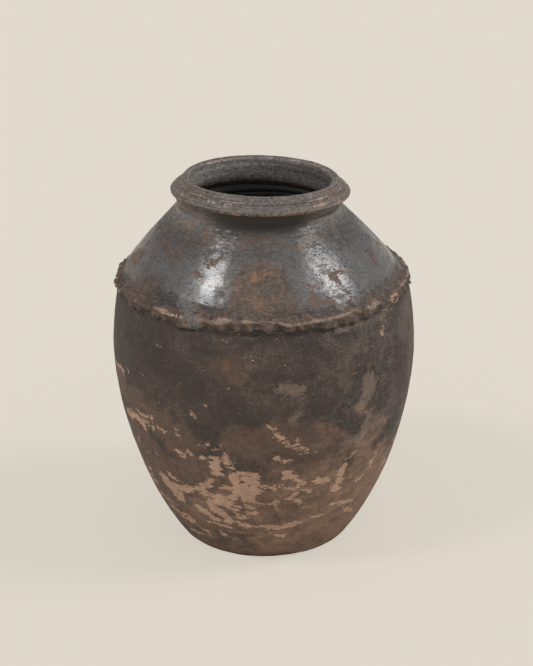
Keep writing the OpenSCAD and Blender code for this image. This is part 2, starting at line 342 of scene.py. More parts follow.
BROWNED = (
    (((-152.0, 366), (-136.0, 360)), 10.0),
    (((-150.0, 330), (-140.0, 336)), 9.0),
    (((-130.0, 380), (-118.0, 384), (-100.0, 382)), 6.0),
    (((-60.0, 380), (-46.0, 378)), 6.0),
    (((-162.0, 206), (-142.0, 190), (-124.0, 172)), 20.0),
    (((-158.0, 150), (-140.0, 130)), 18.0),
    (((-165.0, 384), (-140.0, 388)), 7.0),
    (((-102.0, 178), (-84.0, 186), (-66.0, 178)), 14.0),
    (((-104.0, 270), (-100.0, 262)), 10.0),
    (((-50.0, 200), (-42.0, 170)), 14.0),
    (((20.0, 190), (60.0, 205), (110.0, 180)), 18.0),
)

SOOT_AND_SHADOW = (
    (((-142.4, 322), (-128.0, 326)), 5.0),
    (((-80.2, 357), (-79.0, 342)), 4.5),
    (((-108.7, 286), (-107.5, 271), (-105.6, 254)), 3.2),
    (((-81.9, 151), (-77.8, 139)), 6.6),
    (((-83.3, 216), (-82.2, 199)), 4.3),
    (((-136.8, 262), (-116.0, 240)), 22.0),
    (((-123.0, 298), (-138.0, 292)), 6.5),
    (((-104.0, 235), (-96.0, 205)), 13.0),
    (((-84.0, 160), (-72.0, 148), (-66.0, 158)), 8.0),
    (((-77.8, 194), (-73.1, 182)), 5.4),
    # Painted shadow in the gap under the strip, in front
    (((-88.0, 301), (-73.0, 300)), 12.0),
)

SMEARS_AND_SHEEN = (
    (((-124.7, 327), (-119.4, 318), (-115.4, 309), (-114.0, 304)), 6.0),
    # Painted sheen along the right-hand edge of the shoulder
    (((-4.0, 366), (4.0, 350), (4.0, 335), (-4.0, 323)), 7.0),
)

STREAKED = (
    (((-138.0, 327), (-130.6, 325), (-124.0, 322)), 6.0),
    (((-116.0, 326), (-111.3, 324), (-102.9, 322)), 4.0),
    (((-84.0, 323), (-76.1, 320), (-65.9, 319), (-61.0, 319)), 5.0),
)

LIME_AND_HIGHLIGHTS = (
    (((-58.5, 214), (-57.0, 210)), 1.6),
    (((-35.0, 262), (-34.6, 252)), 0.8),
    (((-112.6, 36), (-104.0, 29)), 1.8),
    (((-118.9, 318), (-117.4, 312)), 1.0),
    # The next two are painted highlights: whitish dashes along the rim's lip, left front and right front
    (((-129.0, 420.8), (-110.0, 420.2)), 1.0),
    (((-60.0, 418.0), (-49.0, 417.4)), 0.5),
    (((-124.0, 412.0), (-112.0, 411.5)), 0.4),
    (((-115.8, 301), (-112.9, 298)), 1.3),
)

EDGE_WORN = (
    (((-120, 6), (-96, 4)), 1.6),
    (((-70, 5), (-58, 6)), 1.2),
    (((10, 5), (44, 6)), 1.6),
    (((120, 5), (140, 4)), 1.2),
)

RIDGES = (
    (((-114.4, 297), (-113.2, 271), (-109.3, 244), (-104.5, 234)), 2.5),
)


def scattered(seed, count, turn_range, height_range, reach, half_width):
    """More marks of the same kind, for the sides that no drawn mark covers."""
    dice = np.random.default_rng(seed)
    marks = []
    for _ in range(count):
        at = dice.uniform(*turn_range)
        up = height_range[0] + dice.beta(1.3, 2.2) * (height_range[1] - height_range[0])
        along = dice.uniform(*reach) / 2
        tilt = math.radians(dice.normal(0, 28))
        step = math.degrees(along * math.cos(tilt) / 140)
        rise = along * math.sin(tilt)
        path = ((at - step, up - rise), (at, up + dice.normal(0, 1.5)), (at + step, up + rise))
        marks.append((path, dice.uniform(*half_width)))
    return tuple(marks)


# Curves of the wall, the same as those of the solids

LOW_PULL = (0.372, 0.227)
HIGH_PULL = (0.35, 0.25)
SHOULDER_PULL = (0.3, 0.25)
FOOT_LEAN = -37
BELLY_TOP_LEAN = 16
SHOULDER_LEAN = 25
NECK_LEAN = 42
SHOULDER_TOP_R = 97.5 * MM
SLAB_TOP = 11 * MM
LAP_H = 6 * MM
FINE = 400


def lean(degrees):
    return np.array([-math.sin(math.radians(degrees)), math.cos(math.radians(degrees))])


def bezier(points, count=FINE):
    a, b, c, d = (np.array(p, float) for p in points)
    t = np.linspace(0, 1, count)[:, None]
    return (1 - t) ** 3 * a + 3 * (1 - t) ** 2 * t * b + 3 * (1 - t) * t * t * c + t**3 * d


def arc(centre, radius, start, end, count):
    turns = np.radians(np.linspace(start, end, count))
    return np.array(centre) + radius * np.stack([np.cos(turns), np.sin(turns)], 1)


def inward(line, depth):
    """The line moved by depth to its left, which is into the jar for a line that climbs."""
    way = np.gradient(line, axis=0)
    way /= np.linalg.norm(way, axis=1)[:, None]
    return line + depth * np.stack([-way[:, 1], way[:, 0]], 1)


def paced(line, step):
    """The line with its points one step apart."""
    line = np.array(line, float)
    run = np.concatenate([[0], np.cumsum(np.linalg.norm(np.diff(line, axis=0), axis=1))])
    marks = np.linspace(0, run[-1], max(2, round(run[-1] / step) + 1))
    return np.stack([np.interp(marks, run, line[:, i]) for i in (0, 1)], 1)


def part_of(line, low, high):
    line = line[np.argsort(line[:, 1])]
    ends = np.array([[np.interp(z, line[:, 1], line[:, 0]), z] for z in (low, high)])
    inside = line[(line[:, 1] > low) & (line[:, 1] < high)]
    return np.concatenate([ends[:1], inside, ends[1:]])


def wall_curves(sizes):
    """Outer curves of the belly and of the shoulder, as points of radius and height."""
    foot = np.array([sizes.foot_r, 0.0])
    belly = np.array([sizes.belly_r, sizes.belly_z])
    seam = np.array([sizes.seam_r, sizes.seam_z])
    neck = np.array([SHOULDER_TOP_R, sizes.neck_z])
    rise, climb = sizes.seam_z - sizes.belly_z, sizes.neck_z - sizes.seam_z
    up = np.array([0.0, 1.0])
    low = bezier(
        (
            foot,
            foot + LOW_PULL[0] * sizes.belly_z * lean(FOOT_LEAN),
            belly - LOW_PULL[1] * sizes.belly_z * up,
            belly,
        )
    )
    high = bezier(
        (
            belly,
            belly + HIGH_PULL[0] * rise * up,
            seam - HIGH_PULL[1] * rise * lean(BELLY_TOP_LEAN),
            seam,
        )
    )
    shoulder = bezier(
        (
            seam,
            seam + SHOULDER_PULL[0] * climb * lean(SHOULDER_LEAN),
            neck - SHOULDER_PULL[1] * climb * lean(NECK_LEAN),
            neck,
        )
    )
    return np.concatenate([low, high[1:]]), shoulder


# Modelling


def deselect():
    if bpy.context.object and bpy.context.object.mode != "OBJECT":
        bpy.ops.object.mode_set(mode="OBJECT")
    bpy.ops.object.select_all(action="DESELECT")


def drawn(name, section, closed):
    """A line in the half plane of +X and +Z, drawn by extruding one vertex along it."""
    deselect()
    first = section[0]
    bpy.ops.mesh.primitive_plane_add(size=MM, location=(first[0], 0, first[1]))
    piece = bpy.context.object
    piece.name = piece.data.name = name
    bpy.ops.object.transform_apply(location=True)
    bpy.ops.object.mode_set(mode="EDIT")
    bpy.ops.mesh.select_all(action="SELECT")
    bpy.ops.mesh.merge(type="CENTER")
    line = np.concatenate([section, section[:1]]) if closed else np.array(section)
    for step in np.diff(line, axis=0):
        bpy.ops.mesh.extrude_region_move(
            TRANSFORM_OT_translate={"value": (float(step[0]), 0, float(step[1]))}
        )
    bpy.ops.mesh.select_all(action="SELECT")
    bpy.ops.mesh.remove_doubles(threshold=MM / 100)
    bpy.ops.object.mode_set(mode="OBJECT")
    return piece


def lathed(name, section, steps, sweep=math.tau):
    """A section turned about the jar's axis: a closed one into a ring, else into a disc."""
    piece = drawn(name, section, section[0][0] > 0)
    screw = piece.modifiers.new("turning", "SCREW")
    screw.angle = sweep
    screw.steps = screw.render_steps = steps
    screw.use_merge_vertices = True
    screw.merge_threshold = MM / 100
    bpy.ops.object.modifier_apply(modifier=screw.name)
    bpy.ops.object.mode_set(mode="EDIT")
    if sweep < math.tau:
        bpy.ops.mesh.select_all(action="DESELECT")
        bpy.ops.mesh.select_non_manifold()
        bpy.ops.mesh.fill_holes(sides=0)
    bpy.ops.mesh.select_all(action="SELECT")
    bpy.ops.mesh.normals_make_consistent(inside=False)
    bpy.ops.object.mode_set(mode="OBJECT")
    bpy.ops.object.shade_smooth()
    return piece


def points_of(piece):
    points = np.empty(len(piece.data.vertices) * 3, np.float32)
    piece.data.vertices.foreach_get("co", points)
    return points.reshape(-1, 3).astype(float)


def put_points(piece, points):
    piece.data.vertices.foreach_set("co", points.astype(np.float32).ravel())
    piece.data.update()


def normals_of(piece):
    normals = np.empty(len(piece.data.vertices) * 3, np.float32)
    piece.data.vertices.foreach_get("normal", normals)
    return normals.reshape(-1, 3).astype(float)


def eased(value, low, high):
    t = np.clip((value - low) / (high - low), 0, 1)
    return t * t * (3 - 2 * t)


def cover(points, marks, soft):
    """How strongly the marks cover each point: 1 inside, 0.5 on a mark's edge, 0 outside."""
    bearing = np.degrees(np.arctan2(points[:, 1], points[:, 0]))
    radius = np.hypot(points[:, 0], points[:, 1])
    height = points[:, 2] / MM
    best = np.zeros(len(points))
    for path, half_width in marks:
        turns = np.array([p[0] for p in path], float)
        ups = np.array([p[1] for p in path], float)
        off = (bearing - turns.mean() + 180) % 360 - 180
        around = np.radians(off) * radius / MM
        scale = radius / MM
        distance = np.full(len(points), 1e9)
        for i in range(len(path) - 1):
            x0 = np.radians(turns[i] - turns.mean()) * scale
            x1 = np.radians(turns[i + 1] - turns.mean()) * scale
            dx, dy = x1 - x0, ups[i + 1] - ups[i]
            t = ((around - x0) * dx + (height - ups[i]) * dy) / (dx * dx + dy * dy + 1e-9)
            t = np.clip(t, 0, 1)
            away = np.hypot(around - x0 - t * dx, height - ups[i] - t * dy)
            distance = np.minimum(distance, away)
        best = np.maximum(best, np.clip(0.5 + (half_width - distance) / (2 * soft), 0, 1))
    return best


def paint(piece, name, marks, soft=3.0, least=0.0):
    """Stores the marks on the outside of a piece, for its material to read."""
    values = np.maximum(cover(points_of(piece), marks, soft), least)
    out = np.einsum("ij,ij->i", normals_of(piece)[:, :2], points_of(piece)[:, :2])
    values[out < -0.02] = 0
    store(piece, name, values)


def faces_in(piece):
    """1 for each point that faces into the jar, and 0 for the others."""
    out = np.einsum("ij,ij->i", normals_of(piece)[:, :2], points_of(piece)[:, :2])
    return (out < -0.01) * 1.0


def store_inner_and_shade(piece, inside=None, outside=0.0):
    """Stores which points are inner clay, and how black each point is painted as shade and shadow."""
    faces = faces_in(piece)
    store(piece, "inner", faces if inside is None else inside)
    store(piece, "deep", outside + 0 * faces)


def facing(points):
    """1 in front and behind, 0 at the two sides."""
    return eased(np.abs(np.sin(np.arctan2(points[:, 1], points[:, 0]))), 0.70, 0.98)


def under_bead(points):
    """The painted shadow under the bead: deep in front and behind, thin at the sides."""
    starts = (399.5 - 17.0 * facing(points)) * MM
    full = (403.5 - 9.0 * facing(points)) * MM
    return np.clip((points[:, 2] - starts) / (full - starts), 0, 1)


def store(piece, name, values):
    layer = piece.data.attributes.new(name, "FLOAT", "POINT")
    layer.data.foreach_set("value", np.clip(values, 0, 1).astype(np.float32))


def displaced(piece, name, depth, size, along="NORMAL", detail=2):
    """Moves the surface by soft noise, as much outwards as inwards."""
    texture = bpy.data.textures.new(name, "CLOUDS")
    texture.noise_scale = size
    texture.noise_depth = detail
    texture.cloud_type = "COLOR" if along == "RGB_TO_XYZ" else "GRAYSCALE"
    deselect()
    piece.select_set(True)
    bpy.context.view_layer.objects.active = piece
    modifier = piece.modifiers.new(name, "DISPLACE")
    modifier.texture = texture
    modifier.texture_coords = "GLOBAL"
    modifier.direction = along
    modifier.strength = depth
    modifier.mid_level = 0.5
    bpy.ops.object.modifier_apply(modifier=modifier.name)
    bpy.data.textures.remove(texture)


def drifted(points, sizes):
    """Moves points sideways: the neck was set a little off centre, and the rim less so."""
    levels = (sizes.seam_z, sizes.seam_z + 0.02, sizes.neck_z, sizes.seat_z - 0.002, sizes.seat_z + 0.006)
    middle = (sizes.neck_drift + sizes.rim_drift) / 2
    shifts = (0, sizes.neck_drift * 0.8, sizes.neck_drift, middle, sizes.rim_drift)
    points[:, 0] += np.interp(points[:, 2], levels, shifts)
    return points


def settled(piece, sizes, dents=None):
    """Gives a piece the drift and the unevenness of handwork, and keeps it in its box."""
    put_points(piece, drifted(points_of(piece), sizes))
    displaced(piece, "swell", sizes.swell, 0.13, "RGB_TO_XYZ", 1)
    depth = sizes.dents if dents is None else dents
    if depth:
        displaced(piece, "dents", depth, 0.022)
        displaced(piece, "finger marks", depth * 0.5, 0.008)
    points = points_of(piece)
    put_points(piece, np.clip(points, SOLIDS_BOX[0], SOLIDS_BOX[1]))


def finished(piece, slot, material, *nodes):
    """Hands a piece over: its finish, the body it rides on and the solids it stands for."""
    piece.data.materials.clear()
    piece.data.materials.append(material)
    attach(piece, "root")
    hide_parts(*nodes)


# Finishes


class Value:
    """A socket of a material's nodes, which Python's operators turn into Math nodes."""

    def __init__(self, sheet, socket):
        self.sheet = sheet
        self.socket = socket

    def _math(self, operation, *values):
        settings = {"operation": operation}
        return self.sheet.node("ShaderNodeMath", settings, dict(enumerate(values)))

    def __add__(self, other):
        return self._math("ADD", self, other)

    def __sub__(self, other):
        return self._math("SUBTRACT", self, other)

    def __rsub__(self, other):
        return self._math("SUBTRACT", other, self)

    def __mul__(self, other):
        return self._math("MULTIPLY", self, other)

    def __pow__(self, other):
        return self._math("POWER", self, other)

    __radd__ = __add__
    __rmul__ = __mul__

    def most(self, other):
        return self._math("MAXIMUM", self, other)


class Sheet:
    """The nodes of one material."""

    def __init__(self, name):
        self.material = bpy.data.materials.new(name)
        self.material.use_nodes = True
        self.tree = self.material.node_tree
        self.tree.nodes.clear()

    def node(self, kind, settings=None, sockets=None, out=0):
        node = self.tree.nodes.new(kind)
        for key, value in (settings or {}).items():
            setattr(node, key, value)
        for key, value in (sockets or {}).items():
            if isinstance(value, Value):
                self.tree.links.new(value.socket, node.inputs[key])
            else:
                node.inputs[key].default_value = value
        return Value(self, node.outputs[out]) if node.outputs else None

    def place(self):
        return self.node("ShaderNodeTexCoord", out="Object")

    def height(self, place):
        return self.node("ShaderNodeSeparateXYZ", {}, {0: place}, "Z")

    def across(self, place):
        return self.node("ShaderNodeSeparateXYZ", {}, {0: place}, "X")

    def stretched(self, place, scale):
        return self.node(
            "ShaderNodeVectorMath", {"operation": "MULTIPLY"}, {0: place, 1: scale}
        )

    def noise(self, place, scale, detail=3.0, roughness=0.5, bend=0.0):
        sockets = {
            "Vector": place,
            "Scale": scale,
            "Detail": detail,
            "Roughness": roughness,
            "Distortion": bend,
        }
        return self.node("ShaderNodeTexNoise", {}, sockets, "Fac")

    def cells(self, place, scale):
        sockets = {"Vector": place, "Scale": scale}
        return self.node("ShaderNodeTexVoronoi", {}, sockets, "Distance")

    def mark(self, name):
        return self.node("ShaderNodeAttribute", {"attribute_name": name}, {}, "Fac")

    def rise(self, value, low, high):
        """0 below low, 1 above high and smooth between them."""
        settings = {"interpolation_type": "SMOOTHSTEP"}
        sockets = {"Value": value, "From Min": low, "From Max": high}
        return self.node("ShaderNodeMapRange", settings, sockets)

    def ramp(self, value, low, high, start, end):
        sockets = {
            "Value": value,
            "From Min": low,
            "From Max": high,
            "To Min": start,
            "To Max": end,
        }
        return self.node("ShaderNodeMapRange", {}, sockets)

    def mix(self, share, a, b, blend="MIX"):
        settings = {"data_type": "RGBA", "blend_type": blend}
        paints = [v if isinstance(v, Value) else (*v, 1.0) for v in (a, b)]
        sockets = {0: share, 6: paints[0], 7: paints[1]}
        return self.node("ShaderNodeMix", settings, sockets, 2)

    def shade(self, paint, factor):
        """A colour made darker or lighter by a factor that varies over the surface."""
        settings = {"operation": "SCALE"}
        return self.node("ShaderNodeVectorMath", settings, {0: paint, "Scale": factor})

    def grained(self, paint, *layers):
        """A colour made lighter and darker about its own value by layers of noise."""
        factor = 1.0
        for noise, share in layers:
            factor = factor + (noise - 0.5) * share
        return self.shade(paint, factor)

    def dusted(self, paint, place, pale, dark, share):
        """A colour with flecks of pale dust and dark pits, each a millimetre or two wide."""
        flecks = self.rise(self.noise(place, 440, 2, 0.6), 0.55, 0.68)
        pits = self.rise(self.noise(self.stretched(place, (1, 1, 1.6)), 390, 2, 0.6), 0.55, 0.68)
        return self.mix(pits * share * 1.2, self.mix(flecks * share, paint, pale), dark)

    def relief(self, height, distance=MM, normal=None):
        sockets = {"Height": height, "Distance": distance, "Strength": 1.0}
        if normal:
            sockets["Normal"] = normal
        return self.node("ShaderNodeBump", {}, sockets)

    def clay(self, sockets):
        """Closes the sheet with a surface and gives its material."""
        surface = self.node("ShaderNodeBsdfPrincipled", {}, sockets)
        self.node("ShaderNodeOutputMaterial", {}, {"Surface": surface})
        return self.material


def rgb(paint):
    return tuple(paint)


def belly_finish(colours):
    """Smoked slip that wears through to a brown under-layer and then to tan clay."""
    s = Sheet("smoked belly slip")
    place = s.place()
    height = s.height(place)
    side = s.across(place)
    slow = s.noise(place, 8, 3)
    cloud = s.noise(place, 30, 5, 0.62)
    blotch = s.noise(s.stretched(place, (1, 1, 1.4)), 58, 4, 0.62, 0.4)
    mottle = s.noise(place, 140, 4, 0.65)
    grain = s.noise(place, 430, 3, 0.65)
    brushed = s.noise(s.stretched(place, (1, 1, 3.0)), 60, 8, 0.68)
    torn = s.noise(s.stretched(place, (1, 1, 1.7)), 270, 4, 0.7)
    wiped = s.noise(s.stretched(place, (26, 26, 330)), 1, 4, 0.6, 0.4)
    ragged = (brushed - 0.5) * 2.6 + (torn - 0.5) * 1.4

    low = s.ramp(height, 0.215, 0.095, 0, 1)
    turned = (slow - 0.5) * 1.4 + (cloud - 0.5) * 1.5 + (blotch - 0.5) * 0.8
    brown = s.rise(low + turned + s.mark("brown") * 0.8, 0.25, 0.8)
    deep = s.mix(s.rise(slow + (cloud - 0.5) * 0.8, 0.38, 0.66), rgb(colours.black_slip), rgb(colours.dark_brown))
    light = low * 0.8 + side * 2.4 + (cloud - 0.5) * 1.6 + (blotch - 0.5) * 1.2
    warm = s.mix(s.rise(light, 0.35, 1.15), rgb(colours.deep_brown), rgb(colours.brown_slip))
    base = s.mix(brown, deep, warm)
    ashy = s.rise(grain * 0.7 + mottle * 0.3 + (cloud - 0.5) * 0.9 + side * 0.6, 0.50, 0.70)
    base = s.mix(ashy * (1 - brown * 0.7) * 0.35, base, rgb(colours.ashy_slip))
    base = s.grained(base, (mottle, 1.0), (grain, 1.2), (wiped, 0.4), (blotch, 0.8))
    base = s.dusted(base, place, rgb(colours.ashy_slip), rgb(colours.soot_and_shade), 0.22)

    rusty = s.rise(s.mark("rusty") + (mottle - 0.5) * 2.0 + (blotch - 0.5) * 2.4, 0.4, 1.2)
    base = s.mix(rusty * 0.5, base, rgb(colours.rust))
    # Pale film, and painted light on the ridge under the strip
    film = s.mark("pale") + ragged * 0.35 + (blotch - 0.5) * 1.6 + (grain - 0.5) * 1.2
    base = s.mix(s.rise(film, 0.45, 0.95) * 0.55, base, s.grained(rgb(colours.pale_film_and_light), (mottle, 1.2)))
    # Soot, and the painted shadow under the strip
    soot_and_shadow = s.rise(s.mark("soot_and_shadow") + (cloud - 0.5) * 2.2 + (blotch - 0.5) * 1.2, 0.3, 1.3)
    base = s.mix(soot_and_shadow * 0.55, base, rgb(colours.soot_and_shade))

    edge = s.mark("worn") + ragged + low * 0.06
    thin = s.rise(edge, 0.26, 0.52)
    worn = s.rise(edge, 0.50, 0.55)
    base = s.mix(thin * 0.5, base, rgb(colours.under_clay))
    tan = s.grained(rgb(colours.bare_clay), (cloud, 0.8), (torn, 1.0), (mottle, 0.7))
    base = s.mix(worn * 0.92, base, s.shade(tan, 0.92))
    lime_smear_and_highlight = s.rise(s.mark("lime_smear_and_highlight") + (torn - 0.5) * 2.4, 0.6, 0.8)
    base = s.mix(lime_smear_and_highlight * 0.4, base, rgb(colours.lime_film_and_highlight))
    base = s.mix(s.mark("inner"), base, rgb(colours.inner_clay))

    bumps = grain * 0.34 + mottle * 0.4 + wiped * 0.16 - worn * 0.25 - thin * 0.1
    return s.clay(
        {
            "Base Color": base,
            "Roughness": 0.6 + grain * 0.2 + worn * 0.2,
            "Normal": s.relief(bumps),
            "Specular IOR Level": 0.42,
        }
    )


def shoulder_coat(s, colours, place, height):
    """Colour, dullness and brush marks of the burnished slip, with its painted light and shade, which neighbours
    share.
    """
    slow = s.noise(place, 11, 3)
    cloud = s.noise(place, 38, 5, 0.6)
    blotch = s.noise(s.stretched(place, (1, 1, 1.5)), 62, 4, 0.62, 0.4)
    mottle = s.noise(place, 160, 4, 0.65)
    grain = s.noise(place, 430, 3, 0.65)
    strokes = s.noise(s.stretched(place, (110, 110, 430)), 1, 4, 0.64, 0.8)
    torn = s.noise(s.stretched(place, (1, 1, 1.9)), 240, 5, 0.66)

    brown = s.rise(slow + (cloud - 0.5) * 1.6 + (blotch - 0.5) * 0.6, 0.42, 0.76)
    base = s.mix(brown * 0.8, rgb(colours.grey_slip), rgb(colours.dark_brown))
    low = s.ramp(height, 0.334, 0.318, 0, 0.55)
    film = s.rise(s.mark("rusty") * 0.95 + s.mark("brown") * 0.7 + low + (cloud - 0.5) * 1.2 + (blotch - 0.5) * 1.0, 0.2, 0.75)
    base = s.mix(film * 0.85, base, rgb(colours.brown_film))
    hot = s.rise(s.mark("rusty") + (blotch - 0.5) * 2.6 + (mottle - 0.5) * 1.8, 0.8, 1.6)
    base = s.mix(hot * 0.7, base, rgb(colours.rust))
    # Soot, and in front some of the painted shadow under the strip
    soot_and_shadow = s.rise(s.mark("soot_and_shadow") + (cloud - 0.5) * 1.2, 0.3, 0.95)
    base = s.mix(soot_and_shadow * 0.45, base, rgb(colours.soot_and_shade))
    base = s.grained(base, (strokes, 0.9), (mottle, 1.4), (grain, 1.8), (blotch, 0.7))
    base = s.dusted(base, place, rgb(colours.ashy_slip), rgb(colours.soot_and_shade), 0.34)
    wiped = s.rise(strokes + torn * 0.4, 0.72, 0.84) * s.ramp(height, 0.362, 0.380, 0.1, 0.55)
    base = s.mix(wiped, base, rgb(colours.ashy_slip))
    streaked = s.rise(s.mark("streaked") + (strokes - 0.5) * 6.5 + (torn - 0.5) * 2.4, 0.75, 0.95)
    base = s.mix(streaked * 0.6, base, rgb(colours.soot_and_shade))
    flaked = s.rise(s.mark("flaked") + (torn - 0.5) * 3.0, 0.52, 0.57)
    base = s.mix(flaked * 0.9, base, rgb(colours.under_clay))
    # Grey smear over the lap, and a painted sheen along the right-hand edge of the shoulder
    smeared = s.rise(s.mark("lime_smear_and_highlight") + (torn - 0.5) * 1.6 + (blotch - 0.5) * 1.2, 0.4, 0.75)
    base = s.mix(smeared * 0.6, base, s.grained(rgb(colours.smear), (torn, 1.4), (grain, 1.4)))
    side = s.across(place)
    # Painted shade darkening both sides, lifted again as painted light at the very edges and on the neck's sides
    painted_side_light = s.ramp(side * side, 0.015, 0.023, 0, 0.28) + s.mark("painted_neck_light") * 0.85
    base = s.shade(base, s.ramp(side * side, 0.003, 0.014, 1.0, 0.78) + painted_side_light)
    # Painted shadow under the bead and painted shade on inner faces, in black; inner faces are then lightened by
    # the inner clay colour
    deep = s.mark("deep")
    base = s.mix(deep * 0.95, base, rgb(colours.black))
    base = s.mix(s.mark("inner"), base, rgb(colours.inner_clay))
    dull = flaked.most(soot_and_shadow * 0.5).most(film * 0.8).most(deep).most(streaked)
    return base, dull, (cloud, mottle, grain, strokes, torn)


def shoulder_finish(colours, name="burnished shoulder slip"):
    """Grey-black slip burnished to a broken gloss, flaked to a matte brown under-layer."""
    s = Sheet(name)
    place = s.place()
    height = s.height(place)
    base, dull, (cloud, mottle, grain, strokes, torn) = shoulder_coat(s, colours, place, height)
    foot = s.rise(height + (torn - 0.5) * 0.02, 0.330, 0.320)
    dashes = s.rise(strokes * 0.7 + torn * 0.7, 0.72, 0.82)
    dull = dull.most(foot * 0.8).most(s.ramp(height, 0.348, 0.374, 0, 0.8) * (1 - dashes * 0.6))
    broken = s.rise(strokes * 1.5 + torn * 1.3 + (cloud - 0.5) * 1.5, 1.1, 1.42)
    coat = (1 - dull) * (0.18 + broken * 0.82)
    bumps = strokes * 0.36 + torn * 0.2 + grain * 0.16 + mottle * 0.3
    return s.clay(
        {
            "Base Color": base,
            "Roughness": 0.5 + grain * 0.16 + dull * 0.26,
            "Normal": s.relief(bumps),
            "Coat Weight": coat,
            "Coat Roughness": 0.25,
            "Coat IOR": 1.64,
            "Specular IOR Level": 0.45,
        }
    )


def rim_finish(colours, name="turned rim slip"):
    """Brown-black slip over turned clay, rubbed to brown on the ridges, with painted highlights along the ridge
    and lip, painted light inside the throat, and painted shadow under the bead and down the throat.
    """
    s = Sheet(name)
    place = s.place()
    slow = s.noise(place, 14, 3)
    cloud = s.noise(place, 48, 5, 0.62)
    mottle = s.noise(place, 200, 4, 0.68)
    grain = s.noise(place, 450, 3, 0.65)
    turning = s.noise(s.stretched(place, (60, 60, 500)), 1, 4, 0.62, 0.6)
    torn = s.noise(s.stretched(place, (1, 1, 2.2)), 260, 5, 0.68)

    brown = s.rise(slow + (cloud - 0.5) * 1.3 + (mottle - 0.5) * 0.6, 0.4, 0.72)
    base = s.mix(brown * 0.7, rgb(colours.rim_slip), rgb(colours.rim_brown))
    # Painted light on the wall inside the throat, brighter on the left than on the right
    wall = s.shade(rgb(colours.smear), s.ramp(s.across(place), -0.065, 0.05, 1.8, 0.6))
    base = s.mix(s.mark("inside") * 0.85, base, wall)
    base = s.grained(base, (turning, 0.6), (mottle, 1.9), (grain, 2.2), (s.mark("turned"), 0.9))
    bead = s.rise(s.mark("bead") + (mottle - 0.5) * 1.6 + (cloud - 0.5) * 1.2, 0.4, 1.0)
    base = s.mix(bead * 0.5, base, s.grained(rgb(colours.worn_and_lit_brown), (mottle, 2.0), (grain, 1.4)))
    # Lighter on the ridge and the lip's inner edge, where hands rub them and where a painted highlight runs
    ridge = s.rise(s.mark("ridge") + (torn - 0.5) * 3.0 + (cloud - 0.5) * 2.0, 0.55, 1.0)
    base = s.mix(ridge * 0.5, base, rgb(colours.worn_and_lit_brown))
    base = s.dusted(base, place, rgb(colours.worn_and_lit_brown), rgb(colours.soot_and_shade), 0.62)
    # Lime scale, and painted highlights as whitish dashes along the rim's front
    lime_smear_and_highlight = s.rise(s.mark("lime_smear_and_highlight") + (torn - 0.5) * 3.6 + (mottle - 0.5) * 1.6, 0.55, 0.8)
    base = s.mix(lime_smear_and_highlight * 0.55, base, rgb(colours.lime_film_and_highlight))
    rubbed = s.rise(s.mark("rubbed") + (torn - 0.5) * 2.6, 0.5, 0.6)
    base = s.mix(rubbed * 0.8, base, rgb(colours.bare_clay))
    chips = torn + s.mark("ridge") * 0.16 + (cloud - 0.5) * 0.5 + (turning - 0.5) * 0.7
    base = s.mix(s.rise(chips, 0.68, 0.76) * 0.45, base, rgb(colours.lime_film_and_highlight))
    # Painted shadow under the bead and painted shade down the throat, in black
    deep = s.mark("deep")
    base = s.mix(s.rise(deep + (cloud - 0.5) * 0.5 * (1 - deep), 0.05, 0.95) * 0.95, base, rgb(colours.black))

    shine = (1 - rubbed) * (1 - deep) * s.rise(turning * 0.6 + torn * 0.5, 0.5, 0.68) * 0.4
    bumps = turning * 0.3 + grain * 0.45 + mottle * 0.6 + torn * 0.25
    return s.clay(
        {
            "Base Color": base,
            "Roughness": 0.5 + grain * 0.2 + rubbed * 0.2,
            "Normal": s.relief(bumps),
            "Coat Weight": shine,
            "Coat Roughness": 0.3,
            "Specular IOR Level": 0.45,
        }
    )


def strip_finish(colours, name="crimped strip clay"):
    """The strip's slip: darker in its thumb prints, rubbed to tan in places, and lighter on its crest where it is
    rubbed and where painted light from above falls.
    """
    s = Sheet(name)
    place = s.place()
    upper, _, (cloud, mottle, grain, strokes, torn) = shoulder_coat(s, colours, place, s.height(place))
    fleck = s.noise(place, 380, 4, 0.72)

    base = s.mix(s.rise(cloud + (mottle - 0.5), 0.4, 0.7), rgb(colours.dark_brown), rgb(colours.brown_film))
    base = s.grained(base, (mottle, 1.6), (grain, 1.2), (fleck, 1.4))
    hollow = s.rise(s.mark("hollow") + (mottle - 0.5) * 1.2, 0.15, 0.85)
    base = s.mix(hollow * 0.5, base, rgb(colours.soot_and_shade))
    rust_spots = s.rise(fleck + (cloud - 0.5) * 0.5, 0.62, 0.72)
    base = s.mix(rust_spots * 0.35, base, rgb(colours.rust))
    top = s.rise(s.mark("thin") + (torn - 0.5) * 3.0 + (cloud - 0.5) * 0.8, 0.3, 0.7)
    base = s.mix(top, base, upper)
    # Crest lighter where it is rubbed and where painted light from above falls
    proud = s.rise(s.mark("proud") + (torn - 0.5) * 1.6 + (cloud - 0.5) * 1.2, 0.38, 0.9)
    base = s.mix(proud * 0.8, base, s.grained(rgb(colours.worn_and_lit_brown), (mottle, 1.4), (fleck, 1.4)))
    rubbed = s.rise(s.mark("rubbed") + (torn - 0.5) * 2.8, 0.52, 0.62)
    base = s.mix(rubbed * 0.9, base, rgb(colours.bare_clay))
    smeared = s.rise(s.mark("lime_smear_and_highlight") + (torn - 0.5) * 1.8 + (mottle - 0.5), 0.35, 0.7)
    base = s.mix(smeared * 0.7, base, s.grained(rgb(colours.smear), (torn, 1.6), (grain, 1.6), (fleck, 1.6)))
    base = s.dusted(base, place, rgb(colours.worn_and_lit_brown), rgb(colours.soot_and_shade), 0.3)

    bumps = grain * 0.3 + mottle * 0.8 + fleck * 0.6
    return s.clay(
        {
            "Base Color": base,
            "Roughness": 0.6 + grain * 0.22,
            "Normal": s.relief(bumps),
            "Specular IOR Level": 0.42,
        }
    )


